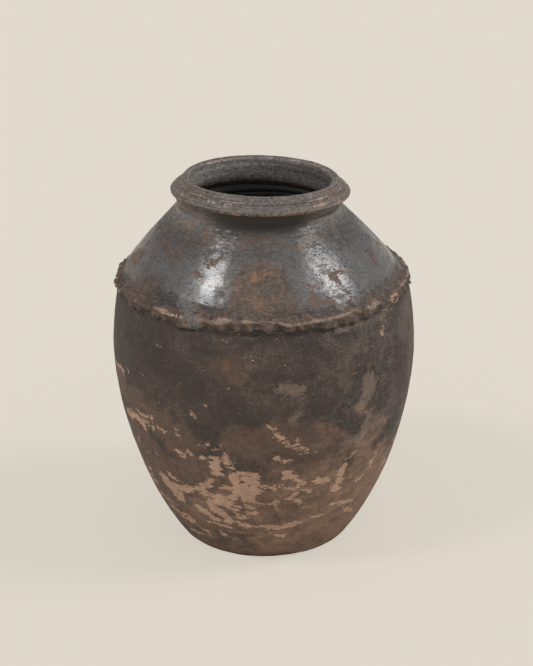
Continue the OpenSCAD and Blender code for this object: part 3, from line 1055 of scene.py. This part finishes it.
def inner_finish(colours, name="inner clay"):
    """Plain fired clay that a wet hand smoothed, seen through the mouth."""
    s = Sheet(name)
    place = s.place()
    cloud = s.noise(place, 30, 5, 0.6)
    mottle = s.noise(place, 140, 4, 0.6)
    grain = s.noise(place, 600, 3, 0.6)
    smoothed = s.noise(s.stretched(place, (18, 18, 300)), 1, 4, 0.6)
    base = s.grained(rgb(colours.inner_clay), (cloud, 1.0), (mottle, 0.8), (smoothed, 0.8))
    bumps = smoothed * 0.5 + grain * 0.2 + mottle * 0.3
    return s.clay(
        {
            "Base Color": base,
            "Roughness": 0.7 + grain * 0.2,
            "Normal": s.relief(bumps),
        }
    )


# Pieces

TURNS = 480
WALL_STEP = 2.2 * MM
FINE_STEP = 1.1 * MM
RIM_STEP = 0.6 * MM
COARSE_STEP = 9 * MM
FINGER_GROOVE = (302.4, 4.2, 1.5)
STRIP_TURNS = 960


def sheets():
    return bpy.context.scene.jar_sizes, bpy.context.scene.jar_colours


def lap_half(sizes):
    return math.asin(sizes.lap_w / 2 / sizes.seam_r)


class JAR_OT_floor(bpy.types.Operator):
    """Floor slab: a disc with a worn edge, a little hollow beneath"""

    bl_idname = "jar.floor"
    bl_label = "Floor slab"

    def execute(self, context):
        sizes, colours = sheets()
        wall, _ = wall_curves(sizes)
        edge = sizes.foot_edge
        side = part_of(wall, edge, SLAB_TOP) - [0.4 * MM, 0]
        worn = arc((side[0][0] - edge, edge), edge, -90, 0, 7)
        step_r = np.interp(sizes.floor_top, *inward(wall, sizes.belly_wall).T[::-1])
        under = [[0, 1.2 * MM], [0.06, 1.0 * MM], [worn[0][0] - 12 * MM, 0.2 * MM]]
        above = [[step_r, SLAB_TOP], [step_r, sizes.floor_top], [0, sizes.floor_top]]
        section = np.concatenate(
            [
                paced(under, COARSE_STEP),
                worn,
                paced(side, WALL_STEP)[1:],
                paced(above, COARSE_STEP),
            ]
        )
        piece = lathed("foot", section, 240)
        settled(piece, sizes)
        for mark in ("worn", "pale", "rusty", "soot_and_shadow", "lime_smear_and_highlight", "brown"):
            paint(piece, mark, EDGE_WORN if mark == "worn" else (), 6)
        store_inner_and_shade(piece, points_of(piece)[:, 2] > sizes.floor_top - 0.1 * MM)
        finished(piece, "foot_clay", belly_finish(colours), "floor_slab")
        return {"FINISHED"}


class JAR_OT_inner_coils(bpy.types.Operator):
    """Inner coils: gives the smoothed coils inside the jar the look of hand-wiped clay"""

    bl_idname = "jar.inner_coils"
    bl_label = "Inner coils"

    def execute(self, context):
        finish = inner_finish(sheets()[1])
        for name in ("floor_fillet", "seam_fillet"):
            node = frame["nodes"][name]
            node.data.materials.clear()
            node.data.materials.append(finish)
        return {"FINISHED"}


class JAR_OT_belly(bpy.types.Operator):
    """Belly wall: turned, then dented, grooved under the strip and worn by use"""

    bl_idname = "jar.belly"
    bl_label = "Belly wall"

    def execute(self, context):
        sizes, colours = sheets()
        wall, _ = wall_curves(sizes)
        inside = inward(wall, sizes.belly_wall)
        edge = sizes.foot_edge
        outer = paced(part_of(wall, edge, sizes.seam_z), WALL_STEP)
        step_r = np.interp(sizes.floor_top, inside[:, 1], inside[:, 0])
        lap_r = sizes.seam_r - sizes.belly_wall / 2
        lap_z = sizes.seam_z - LAP_H
        inner = paced(part_of(inside, sizes.floor_top, lap_z)[::-1], COARSE_STEP)
        section = np.concatenate(
            [
                [outer[0] - [1.0 * MM, 0]],
                outer,
                [[lap_r, sizes.seam_z], [lap_r, lap_z]],
                inner,
                [[step_r, SLAB_TOP], [outer[0][0] - 1.0 * MM + 6 * MM, SLAB_TOP - 1 * MM]],
            ]
        )
        piece = lathed("belly", section, TURNS)
        points = points_of(piece)
        normals = normals_of(piece)
        groove_z, groove_h, groove_d = FINGER_GROOVE
        hollow = groove_d * np.exp(-(((points[:, 2] / MM - groove_z) / groove_h) ** 2))
        run = cover(points, RIDGES, 4.0)
        points += normals * ((run * 0.9 - hollow) * MM)[:, None]
        put_points(piece, points)
        settled(piece, sizes)
        around = scattered(11, 46, (0, 168), (24, 190), (4, 34), (1.2, 5.2))
        sides = scattered(12, 10, (-172, -150), (40, 170), (3, 16), (1.0, 2.6))
        edges = scattered(13, 8, (-30, -4), (40, 170), (3, 18), (1.0, 2.6))
        paint(piece, "worn", WORN + around + sides + edges + RUBBED, 4.6)
        paint(piece, "brown", BROWNED, 14)
        clouds = scattered(14, 9, (0, 168), (60, 260), (20, 60), (5, 11))
        paint(piece, "pale", PALE_AND_LIT + clouds, 6)
        paint(piece, "rusty", RUSTY + scattered(15, 10, (0, 168), (60, 290), (4, 26), (2, 8)), 6)
        # Painted shadow all round under the strip, stored with the soot marks
        shade = np.exp(-(((points_of(piece)[:, 2] / MM - 301) / 3.6) ** 2))
        paint(piece, "soot_and_shadow", SOOT_AND_SHADOW + scattered(16, 7, (0, 168), (180, 290), (20, 90), (5, 22)), 12, shade)
        paint(piece, "lime_smear_and_highlight", LIME_AND_HIGHLIGHTS + scattered(17, 12, (0, 168), (90, 290), (1, 9), (0.6, 1.4)))
        store_inner_and_shade(piece)
        finished(piece, "belly_slip", belly_finish(colours), "belly_wall")
        return {"FINISHED"}


def shoulder_marks(piece):
    """The marks that run on from the shoulder over the pieces which touch it."""
    around = scattered(21, 22, (-10, 200), (326, 380), (3, 22), (0.9, 3.2))
    paint(piece, "flaked", FLAKED + around, 3)
    paint(piece, "rusty", RUSTY + scattered(22, 8, (0, 190), (320, 385), (6, 40), (4, 12)), 9)
    paint(piece, "brown", BROWNED, 9)
    paint(piece, "soot_and_shadow", SOOT_AND_SHADOW, 8)
    paint(piece, "lime_smear_and_highlight", SMEARS_AND_SHEEN, 6)
    paint(piece, "streaked", STREAKED + scattered(23, 9, (0, 200), (318, 328), (20, 70), (3, 6)), 4)
    points = points_of(piece)
    # Painted light on the neck's sides, lightening them in the shadow of the bead
    store(piece, "painted_neck_light", eased(points[:, 2] / MM, 380, 392) * (1 - facing(points)))


class JAR_OT_shoulder(bpy.types.Operator):
    """Shoulder: a burnished cone with the marks of the brush"""

    bl_idname = "jar.shoulder"
    bl_label = "Shoulder"

    def execute(self, context):
        sizes, colours = sheets()
        wall, shoulder = wall_curves(sizes)
        inside = inward(shoulder, sizes.shoulder_wall)
        belly_inside = inward(wall, sizes.belly_wall)
        lap_r = sizes.seam_r - sizes.belly_wall / 2
        lap_z = sizes.seam_z - LAP_H
        ledge = np.interp(lap_z, belly_inside[:, 1], belly_inside[:, 0])
        section = np.concatenate(
            [
                paced(shoulder, 1.8 * MM),
                paced(inside[::-1], COARSE_STEP),
                [[ledge, lap_z], [lap_r, lap_z], [lap_r, sizes.seam_z]],
            ]
        )
        piece = lathed("shoulder_cone", section, TURNS)
        settled(piece, sizes)
        shoulder_marks(piece)
        bore = faces_in(piece)
        # Painted shadow under the bead, and painted shade on the inner faces: black there, lightened a little by
        # the inner clay colour
        store_inner_and_shade(piece, bore * 0.6, np.maximum(under_bead(points_of(piece)), bore))
        finished(piece, "burnished_slip", shoulder_finish(colours), "shoulder")
        return {"FINISHED"}


class JAR_OT_neck(bpy.types.Operator):
    """Neck collar: luted on to the shoulder and pushed up into the rim"""

    bl_idname = "jar.neck"
    bl_label = "Neck collar"

    def execute(self, context):
        sizes, colours = sheets()
        _, shoulder = wall_curves(sizes)
        low = shoulder[np.abs(shoulder[:, 1] - sizes.neck_z + 3 * MM).argmin()]
        skirt = inward(part_of(shoulder, low[1] + 1 * MM, sizes.neck_z), -0.15 * MM)
        bend = sizes.seat_z - 6 * MM
        top = sizes.seat_z + 4 * MM
        flare = bezier(
            (
                skirt[-1],
                skirt[-1] + 4 * MM * lean(NECK_LEAN),
                (sizes.neck_r, bend - 4 * MM),
                (sizes.neck_r, bend),
            ),
            14,
        )
        bore = [(sizes.neck_in + 0.6 * MM, top), (sizes.neck_in, bend), (sizes.neck_in, sizes.neck_z)]
        foot = [inward(shoulder, sizes.shoulder_wall)[-1], low - [1.0 * MM, 0]]
        section = np.concatenate(
            [
                paced(skirt, FINE_STEP),
                flare[1:],
                [(sizes.neck_r, top)],
                paced(bore, 3 * MM),
                foot,
            ]
        )
        piece = lathed("neck_band", section, TURNS)
        settled(piece, sizes)
        shoulder_marks(piece)
        bore = faces_in(piece)
        # Painted shadow under the bead, and painted shade in the bore: black, lightened by the inner clay colour
        # the lower it goes
        low = eased(points_of(piece)[:, 2] / MM, 391, 381)
        store_inner_and_shade(piece, bore * (0.3 + 0.7 * low), np.maximum(under_bead(points_of(piece)), bore))
        finished(piece, "neck_slip", shoulder_finish(colours, "neck slip"), "neck_collar")
        return {"FINISHED"}


def rim_section(sizes):
    """Section of the rim above its seat: throat, broad lip, ridge between two grooves, bead."""
    out, inner = sizes.bead_r / MM, sizes.throat_r / MM
    bore, neck, top = sizes.neck_in / MM, sizes.neck_r / MM, sizes.rim_h / MM
    line = [
        (bore - 0.4, -9.0),
        (bore - 3.2, -6.4),
        (inner + 1.0, -3.2),
        (inner + 0.1, 1.0),
        (inner, 8.0),
        (inner, top - 10.4),
        (inner + 0.2, top - 9.2),
        (inner + 0.7, top - 8.2),
        (inner + 0.7, top - 7.2),
        (inner + 1.0, top - 5.6),
        (inner + 1.8, top - 3.4),
        (inner + 3.5, top - 1.5),
        (inner + 5.6, top - 0.4),
        (inner + 7.4, top - 0.3),
        (inner + 9.1, top - 1.2),
        (inner + 10.7, top - 3.2),
        (inner + 11.8, top - 5.3),
        (out - 10.5, top - 6.5),
        (out - 9.9, top - 6.8),
        (out - 9.3, top - 7.0),
        (out - 9.1, top - 7.6),
        (out - 9.3, top - 8.4),
        (out - 9.3, top - 9.1),
        (out - 8.8, top - 9.5),
        (out - 7.6, top - 9.6),
        (out - 5.2, top - 10.2),
        (out - 2.8, top - 11.5),
        (out - 1.1, top - 13.4),
        (out - 0.2, top - 14.6),
        (out, 9.6),
        (out - 0.3, 8.6),
        (out - 1.3, 7.5),
        (out - 3.0, 6.2),
        (out - 5.0, 3.2),
        (out - 6.8, -0.6),
        (neck + 0.5, -3.6),
        (neck - 0.6, -6.2),
    ]
    return paced(rounded(np.array(line) * MM, 2), RIM_STEP)


def rounded(line, times=3):
    """The line with its corners cut again and again, as a turning hand rounds them."""
    for _ in range(times):
        near = line[:-1] * 0.75 + line[1:] * 0.25
        far = line[:-1] * 0.25 + line[1:] * 0.75
        line = np.concatenate([line[:1], np.stack([near, far], 1).reshape(-1, 2), line[-1:]])
    return line


class JAR_OT_rim(bpy.types.Operator):
    """Rolled rim: turned from one roll of clay, and leaning as its maker left it"""

    bl_idname = "jar.rim"
    bl_label = "Rolled rim"

    def execute(self, context):
        sizes, colours = sheets()
        piece = lathed("rolled_rim", rim_section(sizes), TURNS)
        axis = Vector((math.sin(sizes.rim_lean), 0, math.cos(sizes.rim_lean)))
        axis.rotate(Matrix.Rotation(sizes.rim_lean_to, 3, "Z"))
        leant = Vector((0, 0, 1)).rotation_difference(axis).to_matrix().to_4x4()
        points = points_of(piece)
        lines = turning_lines(points)
        store(piece, "turned", 0.5 + 0.5 * lines)
        for name, values in rim_marks(points, sizes).items():
            store(piece, name, values)
        put_points(piece, points + normals_of(piece) * (lines * 0.22 * MM)[:, None])
        piece.data.transform(Matrix.Translation((0, 0, sizes.seat_z)) @ leant)
        settled(piece, sizes, sizes.dents)
        worn = cover(points_of(piece), BEAD_RUBBED, 3)
        bead = np.empty(len(points), np.float32)
        piece.data.attributes["bead"].data.foreach_get("value", bead)
        piece.data.attributes["bead"].data.foreach_set("value", (bead * (0.45 + worn)).astype(np.float32))
        paint(piece, "rubbed", RUBBED + scattered(31, 9, (0, 190), (404, 428), (2, 8), (0.6, 1.4)), 2.5)
        paint(piece, "lime_smear_and_highlight", LIME_AND_HIGHLIGHTS + scattered(32, 4, (0, 180), (410, 424), (8, 26), (0.6, 1.2)), 2.5)
        finished(piece, "rim_slip", rim_finish(colours), "rim_roll")
        return {"FINISHED"}


def turning_lines(points):
    """Fine lines left by the turning hand round the upright rim, about -1 to 1."""
    dice = np.random.default_rng(61)
    bearing = np.arctan2(points[:, 1], points[:, 0])
    along = (np.hypot(points[:, 0], points[:, 1]) * 0.8 - points[:, 2] * 0.6) / MM
    lines = np.zeros(len(points))
    for pitch in (2.3, 2.9, 3.7, 5.1):
        start = dice.uniform(0, math.tau) + 0.9 * wave(bearing, int(pitch * 10), 7)
        lines += np.sin(math.tau * along / pitch + start) * (0.75 + 0.5 * wave(bearing, int(pitch * 20), 12))
    lines *= 1 - 0.7 * (np.hypot(points[:, 0], points[:, 1]) < 79 * MM)
    return np.clip(lines / 3, -1, 1)


def rim_marks(points, sizes):
    """Where the upright rim stands out to be rubbed and takes a painted highlight, where it is painted black as
    shadow under the bead and shade down the throat, and where its inner wall takes painted light.
    """
    radius = np.hypot(points[:, 0], points[:, 1]) / MM
    height = points[:, 2] / MM
    out, inner, top = sizes.bead_r / MM, sizes.throat_r / MM, sizes.rim_h / MM
    # Ridge and the lip's inner edge: lighter where hands rub them, and a painted highlight along them
    crest = np.exp(-(((radius - out + 9.7) / 1.1) ** 2)) * (np.abs(height - top + 7.2) < 1.5)
    bearing = np.arctan2(points[:, 1], points[:, 0])
    crest *= 0.7 + 0.45 * wave(bearing, 62, 15)
    edge = np.exp(-(((radius - inner - 3.2) / 1.2) ** 2)) * (height > top - 4)
    bead = eased(radius, out - 5, out - 2) * eased(height, 14, 10)
    # Painted shadow under the bead: deepest in front and behind, thin at the sides
    front = eased(np.abs(points[:, 1]) / (radius * MM), 0.66, 0.96)
    under = (radius > inner + 9) * eased(height, 5.8 + 2.2 * front, 2.8 + 2.2 * front)
    under *= 0.25 + 0.75 * facing(points)
    # Painted shade, darker down the throat
    throat = (radius < inner + 9) * eased(height, 8, -6) * 0.4
    # Painted light on the wall inside the throat, below the lip
    painted_throat_light = (radius < inner + 2.4) * eased(height, -4, 8) * (height < top - 6)
    return {
        "ridge": np.clip(crest + edge * 0.7, 0, 1),
        "bead": bead * (1 - under),
        "deep": np.maximum(under, throat),
        "inside": painted_throat_light,
    }


def wall_radius(sizes, height):
    """Outer radius of belly and shoulder at each height."""
    belly, shoulder = wall_curves(sizes)
    outline = np.concatenate([belly, shoulder[1:]])
    return np.interp(height, outline[:, 1], outline[:, 0])


STRIP_BODY = (
    (-0.2, 0.10),
    (0.3, 0.55),
    (1.2, 0.84),
    (3.0, 1.0),
    (6.0, 1.05),
    (8.2, 1.06),
    (9.6, 0.98),
    (11.0, 0.80),
    (12.6, 0.56),
    (14.4, 0.34),
    (16.2, 0.17),
    (18.0, 0.04),
    (19.0, -0.06),
)
CREST_UP = 8.6 * MM


def strip_section(sizes, low, stretch=1.0, thick=1.0):
    """Section of the strip: thin above, proud at its crest, and rolled under at its edge."""
    body = np.array(STRIP_BODY)
    height = low + body[:, 0] * stretch * MM
    face = np.stack([wall_radius(sizes, height) + body[:, 1] * thick * sizes.strip_t, height], 1)
    back = np.array([height[-1], low + 1 * MM])
    sunk = np.stack([wall_radius(sizes, back) - 2.4 * MM, back], 1)
    return np.concatenate([paced(rounded(face, 2), 0.75 * MM), paced(sunk, 4 * MM)])


def pressed(points, sizes):
    """Thumb prints from below: the edge goes in and up, and the clay stands out between."""
    dice = np.random.default_rng(7)
    reach = sizes.seam_r + sizes.strip_t
    count = int(math.tau * reach / sizes.crimp_pitch)
    bearing = np.arctan2(points[:, 1], points[:, 0])
    radius = np.hypot(points[:, 0], points[:, 1])
    up = points[:, 2] - sizes.strip_low
    below = eased(up, CREST_UP, CREST_UP * 0.45)
    at_crest = np.exp(-(((up - CREST_UP) / (2.6 * MM)) ** 2))
    hollow = np.zeros(len(points))
    rise = np.zeros(len(points))
    for i in range(count):
        at = math.tau * (i + 0.5 + dice.normal(0, 0.2)) / count
        wide = sizes.crimp_pitch * dice.uniform(0.26, 0.44)
        deep = dice.uniform(0.35, 1.15)
        tall = dice.uniform(0.6, 1.4)
        skew = dice.normal(0, 0.25) / CREST_UP
        off = ((bearing - at + math.pi) % math.tau - math.pi) * reach / wide + skew * up
        spread = np.exp(-(np.abs(off) ** 2.4))
        hollow = np.maximum(hollow, deep * spread)
        rise = np.maximum(rise, deep * tall * np.exp(-(off**2)))
    proud = np.maximum(radius - wall_radius(sizes, points[:, 2]), 0)
    lump = np.clip(0.55 - hollow, 0, 0.55)
    inward_by = np.minimum(sizes.crimp_depth * hollow * below, proud * 0.8)
    outward = (lump * 0.9 * below + 0.4 * rise * at_crest) * MM * (proud > 0.3 * MM)
    moved = points.copy()
    moved[:, :2] *= ((radius - inward_by + outward) / radius)[:, None]
    edge = eased(up, CREST_UP, 0)
    moved[:, 2] += rise * (1.5 * edge + 1.0 * at_crest) * MM - lump * 0.9 * edge * MM
    return moved, hollow * below, proud / sizes.strip_t


# How far the strip wanders up from its own level: direction in degrees, distance in mm
WANDER = (
    (-180, 0.2),
    (-130, 0.6),
    (-114, 1.6),
    (-92, 1.5),
    (-78, 0.0),
    (-64, -1.2),
    (-48, -0.5),
    (-25, 0.6),
    (20, -0.4),
    (70, 0.8),
    (120, -0.6),
    (180, 0.2),
)


def wave(bearing, seed, most):
    """A smooth random line round the jar, about -1 to 1."""
    dice = np.random.default_rng(seed)
    turns = dice.integers(3, most, 6)
    starts = dice.uniform(0, math.tau, 6)
    return sum(np.sin(n * bearing + at) for n, at in zip(turns, starts)) / 2.4


def wandering(points):
    turns, rises = np.array(WANDER, float).T
    bearing = np.degrees(np.arctan2(points[:, 1], points[:, 0]))
    points[:, 2] += np.interp(bearing, turns, rises) * MM
    return points


class JAR_OT_strip(bpy.types.Operator):
    """Crimped strip: pressed on over the seam with the thumb, print by print"""

    bl_idname = "jar.strip"
    bl_label = "Crimped strip"

    def execute(self, context):
        sizes, colours = sheets()
        half = lap_half(sizes)
        piece = lathed("crimped_band", strip_section(sizes, sizes.strip_low), STRIP_TURNS, math.tau - 2 * half)
        piece.data.transform(Matrix.Rotation(sizes.lap_at + half, 4, "Z"))
        points, hollow, proud = pressed(points_of(piece), sizes)
        bearing = np.arctan2(points[:, 1], points[:, 0])
        # The crest band: lighter where the crest is rubbed and where painted light from above falls
        middle = sizes.strip_low + CREST_UP + (0.8 + 1.2 * wave(bearing, 51, 26)) * MM
        spread = (1.9 + 1.0 * wave(bearing, 52, 17) + 0.4 * eased(bearing, -1.2, -0.7)) * MM
        crest = np.exp(-(((points[:, 2] - middle) / spread) ** 2)) * (proud > 0.2)
        crest *= 1 - 0.45 * eased(bearing, -2.3, -2.5) + 0.25 * wave(bearing, 53, 40)
        crest *= 1 - 0.25 * eased(bearing, -1.2, -0.7) - 0.35 * np.exp(-(((bearing + 1.9) / 0.15) ** 2))
        put_points(piece, wandering(points))
        displaced(piece, "folds", 4.4 * MM, 0.010, "RGB_TO_XYZ", 2)
        displaced(piece, "lumps", 3.0 * MM, 0.006, detail=3)
        settled(piece, sizes, sizes.dents * 0.5)
        store(piece, "hollow", hollow)
        store(piece, "proud", crest)
        store(piece, "thin", eased(proud, 0.5, 0.1))
        shoulder_marks(piece)
        store_inner_and_shade(piece)
        paint(piece, "rubbed", RUBBED + scattered(41, 30, (-40, 200), (304, 318), (2, 12), (0.5, 1.3)), 2.5)
        finished(piece, "strip_clay", strip_finish(colours), "crimped_strip")
        return {"FINISHED"}


class JAR_OT_lap(bpy.types.Operator):
    """Lap: a dab of grey clay smeared over the two ends of the strip"""

    bl_idname = "jar.lap"
    bl_label = "Lap of the strip"

    def execute(self, context):
        sizes, colours = sheets()
        half = lap_half(sizes) * 1.5
        section = strip_section(sizes, sizes.strip_low - 3 * MM, 1.3, 1.0)
        piece = lathed("smeared_lap", section, 40, 2 * half)
        piece.data.transform(Matrix.Rotation(sizes.lap_at - half, 4, "Z"))
        points = points_of(piece)
        bearing = np.arctan2(points[:, 1], points[:, 0]) % math.tau
        radius = np.hypot(points[:, 0], points[:, 1])
        bare = wall_radius(sizes, points[:, 2])
        off = np.abs(bearing - sizes.lap_at) / half
        proud = np.maximum(radius - bare, 0)
        sunk = (radius - bare - 1.2 * MM) * (proud > 0)
        fade = eased(off, 0.55, 1.0)
        points[:, :2] *= ((radius - fade * np.maximum(sunk + 2 * MM, 0)) / radius)[:, None]
        put_points(piece, wandering(points))
        displaced(piece, "smear", 3.0 * MM, 0.012, detail=3)
        settled(piece, sizes, sizes.dents * 0.5)
        store(piece, "hollow", np.zeros(len(points)))
        # A faint share of the crest's wear and painted light where the lap stands out
        store(piece, "proud", eased(proud, 0, sizes.strip_t) * 0.3)
        store(piece, "thin", eased(proud, 1.6 * MM, 0.4 * MM))
        shoulder_marks(piece)
        store_inner_and_shade(piece)
        paint(piece, "rubbed", RUBBED, 2.5)
        finished(piece, "lap_clay", strip_finish(colours, "lap clay"), "strip_lap")
        return {"FINISHED"}


# Stage

CAMERA_AT = (0.0001, -1.8136, 0.9809)
CAMERA_DOWN = 22.315
CAMERA_ASIDE = 0.101
CAMERA_ROLL = -0.847
FOCAL_PIXELS = 1700
FRAME_HEIGHT = 666
SENSOR = 36.0


def lamp(name, way, power, wide):
    """A broad soft lamp, far off in the given direction."""
    deselect()
    bpy.ops.object.light_add(type="SUN", location=Vector(way) * 2)
    light = bpy.context.object
    light.name = name
    light.rotation_euler = Vector(way).to_track_quat("Z", "Y").to_euler()
    light.data.energy = power
    light.data.angle = math.radians(wide)


class JAR_OT_stage(bpy.types.Operator):
    """Stage: pale floor, soft lamps and the camera"""

    bl_idname = "jar.stage"
    bl_label = "Stage"

    def execute(self, context):
        looks = context.scene.jar_stage
        deselect()
        bpy.ops.mesh.primitive_plane_add(size=24, location=(0, 0, 0))
        floor = context.object
        floor.name = "pale_floor"
        s = Sheet("pale floor")
        ground = s.node("ShaderNodeBsdfDiffuse", {}, {"Color": (*looks.floor_colour, 1)})
        even = s.node("ShaderNodeEmission", {}, {"Color": (*looks.floor_colour, 1)})
        seen = s.node("ShaderNodeLightPath", out="Is Camera Ray")
        cover_all = s.node("ShaderNodeMixShader", {}, {0: seen * looks.floor_even, 1: ground, 2: even})
        s.node("ShaderNodeOutputMaterial", {}, {"Surface": cover_all})
        floor.data.materials.append(s.material)

        world = bpy.data.worlds.new("even light")
        context.scene.world = world
        world.use_nodes = True
        sky = world.node_tree.nodes["Background"]
        sky.inputs["Color"].default_value = (1, 0.99, 0.97, 1)
        sky.inputs["Strength"].default_value = looks.world

        lamp("left lamp", (-0.54, -0.28, 0.79), looks.side_power * 0.86, 13)
        lamp("right lamp", (0.71, -0.05, 0.69), looks.side_power * 1.14, 21)

        bpy.ops.object.camera_add(location=CAMERA_AT)
        camera = context.object
        camera.name = "camera"
        ahead = Matrix.Rotation(math.radians(-CAMERA_ASIDE), 4, "Z")
        ahead @= Matrix.Rotation(math.radians(90 - CAMERA_DOWN), 4, "X")
        ahead @= Matrix.Rotation(math.radians(CAMERA_ROLL), 4, "Z")
        camera.rotation_euler = ahead.to_euler()
        camera.data.sensor_fit = "AUTO"
        camera.data.sensor_width = SENSOR
        camera.data.lens = SENSOR * FOCAL_PIXELS / FRAME_HEIGHT
        camera.data.clip_end = 100
        context.scene.camera = camera
        context.scene.view_settings.view_transform = "Standard"
        return {"FINISHED"}


class JAR_PT_panel(bpy.types.Panel):
    """Lists the pieces of the jar and the values that shape and colour them"""

    bl_idname = "JAR_PT_panel"
    bl_label = "Water jar"
    bl_space_type = "VIEW_3D"
    bl_region_type = "UI"
    bl_category = "Water jar"

    def draw(self, context):
        for operator in PIECES:
            self.layout.operator(operator.bl_idname)
        for group in (context.scene.jar_sizes, context.scene.jar_colours, context.scene.jar_stage):
            box = self.layout.box()
            for name in group.__annotations__:
                box.prop(group, name)


PIECES = (
    JAR_OT_floor,
    JAR_OT_inner_coils,
    JAR_OT_belly,
    JAR_OT_shoulder,
    JAR_OT_neck,
    JAR_OT_rim,
    JAR_OT_strip,
    JAR_OT_lap,
    JAR_OT_stage,
)
GROUPS = {"jar_sizes": JarSizes, "jar_colours": JarColours, "jar_stage": JarStage}


def register():
    for kind in (*GROUPS.values(), *PIECES, JAR_PT_panel):
        bpy.utils.register_class(kind)
    for name, group in GROUPS.items():
        setattr(bpy.types.Scene, name, PointerProperty(type=group))


def unregister():
    for name in GROUPS:
        delattr(bpy.types.Scene, name)
    for kind in reversed((*GROUPS.values(), *PIECES, JAR_PT_panel)):
        bpy.utils.unregister_class(kind)


def main():
    register()
    for operator in PIECES:
        group, name = operator.bl_idname.split(".")
        getattr(getattr(bpy.ops, group), name)()


if __name__ == "__main__":
    main()
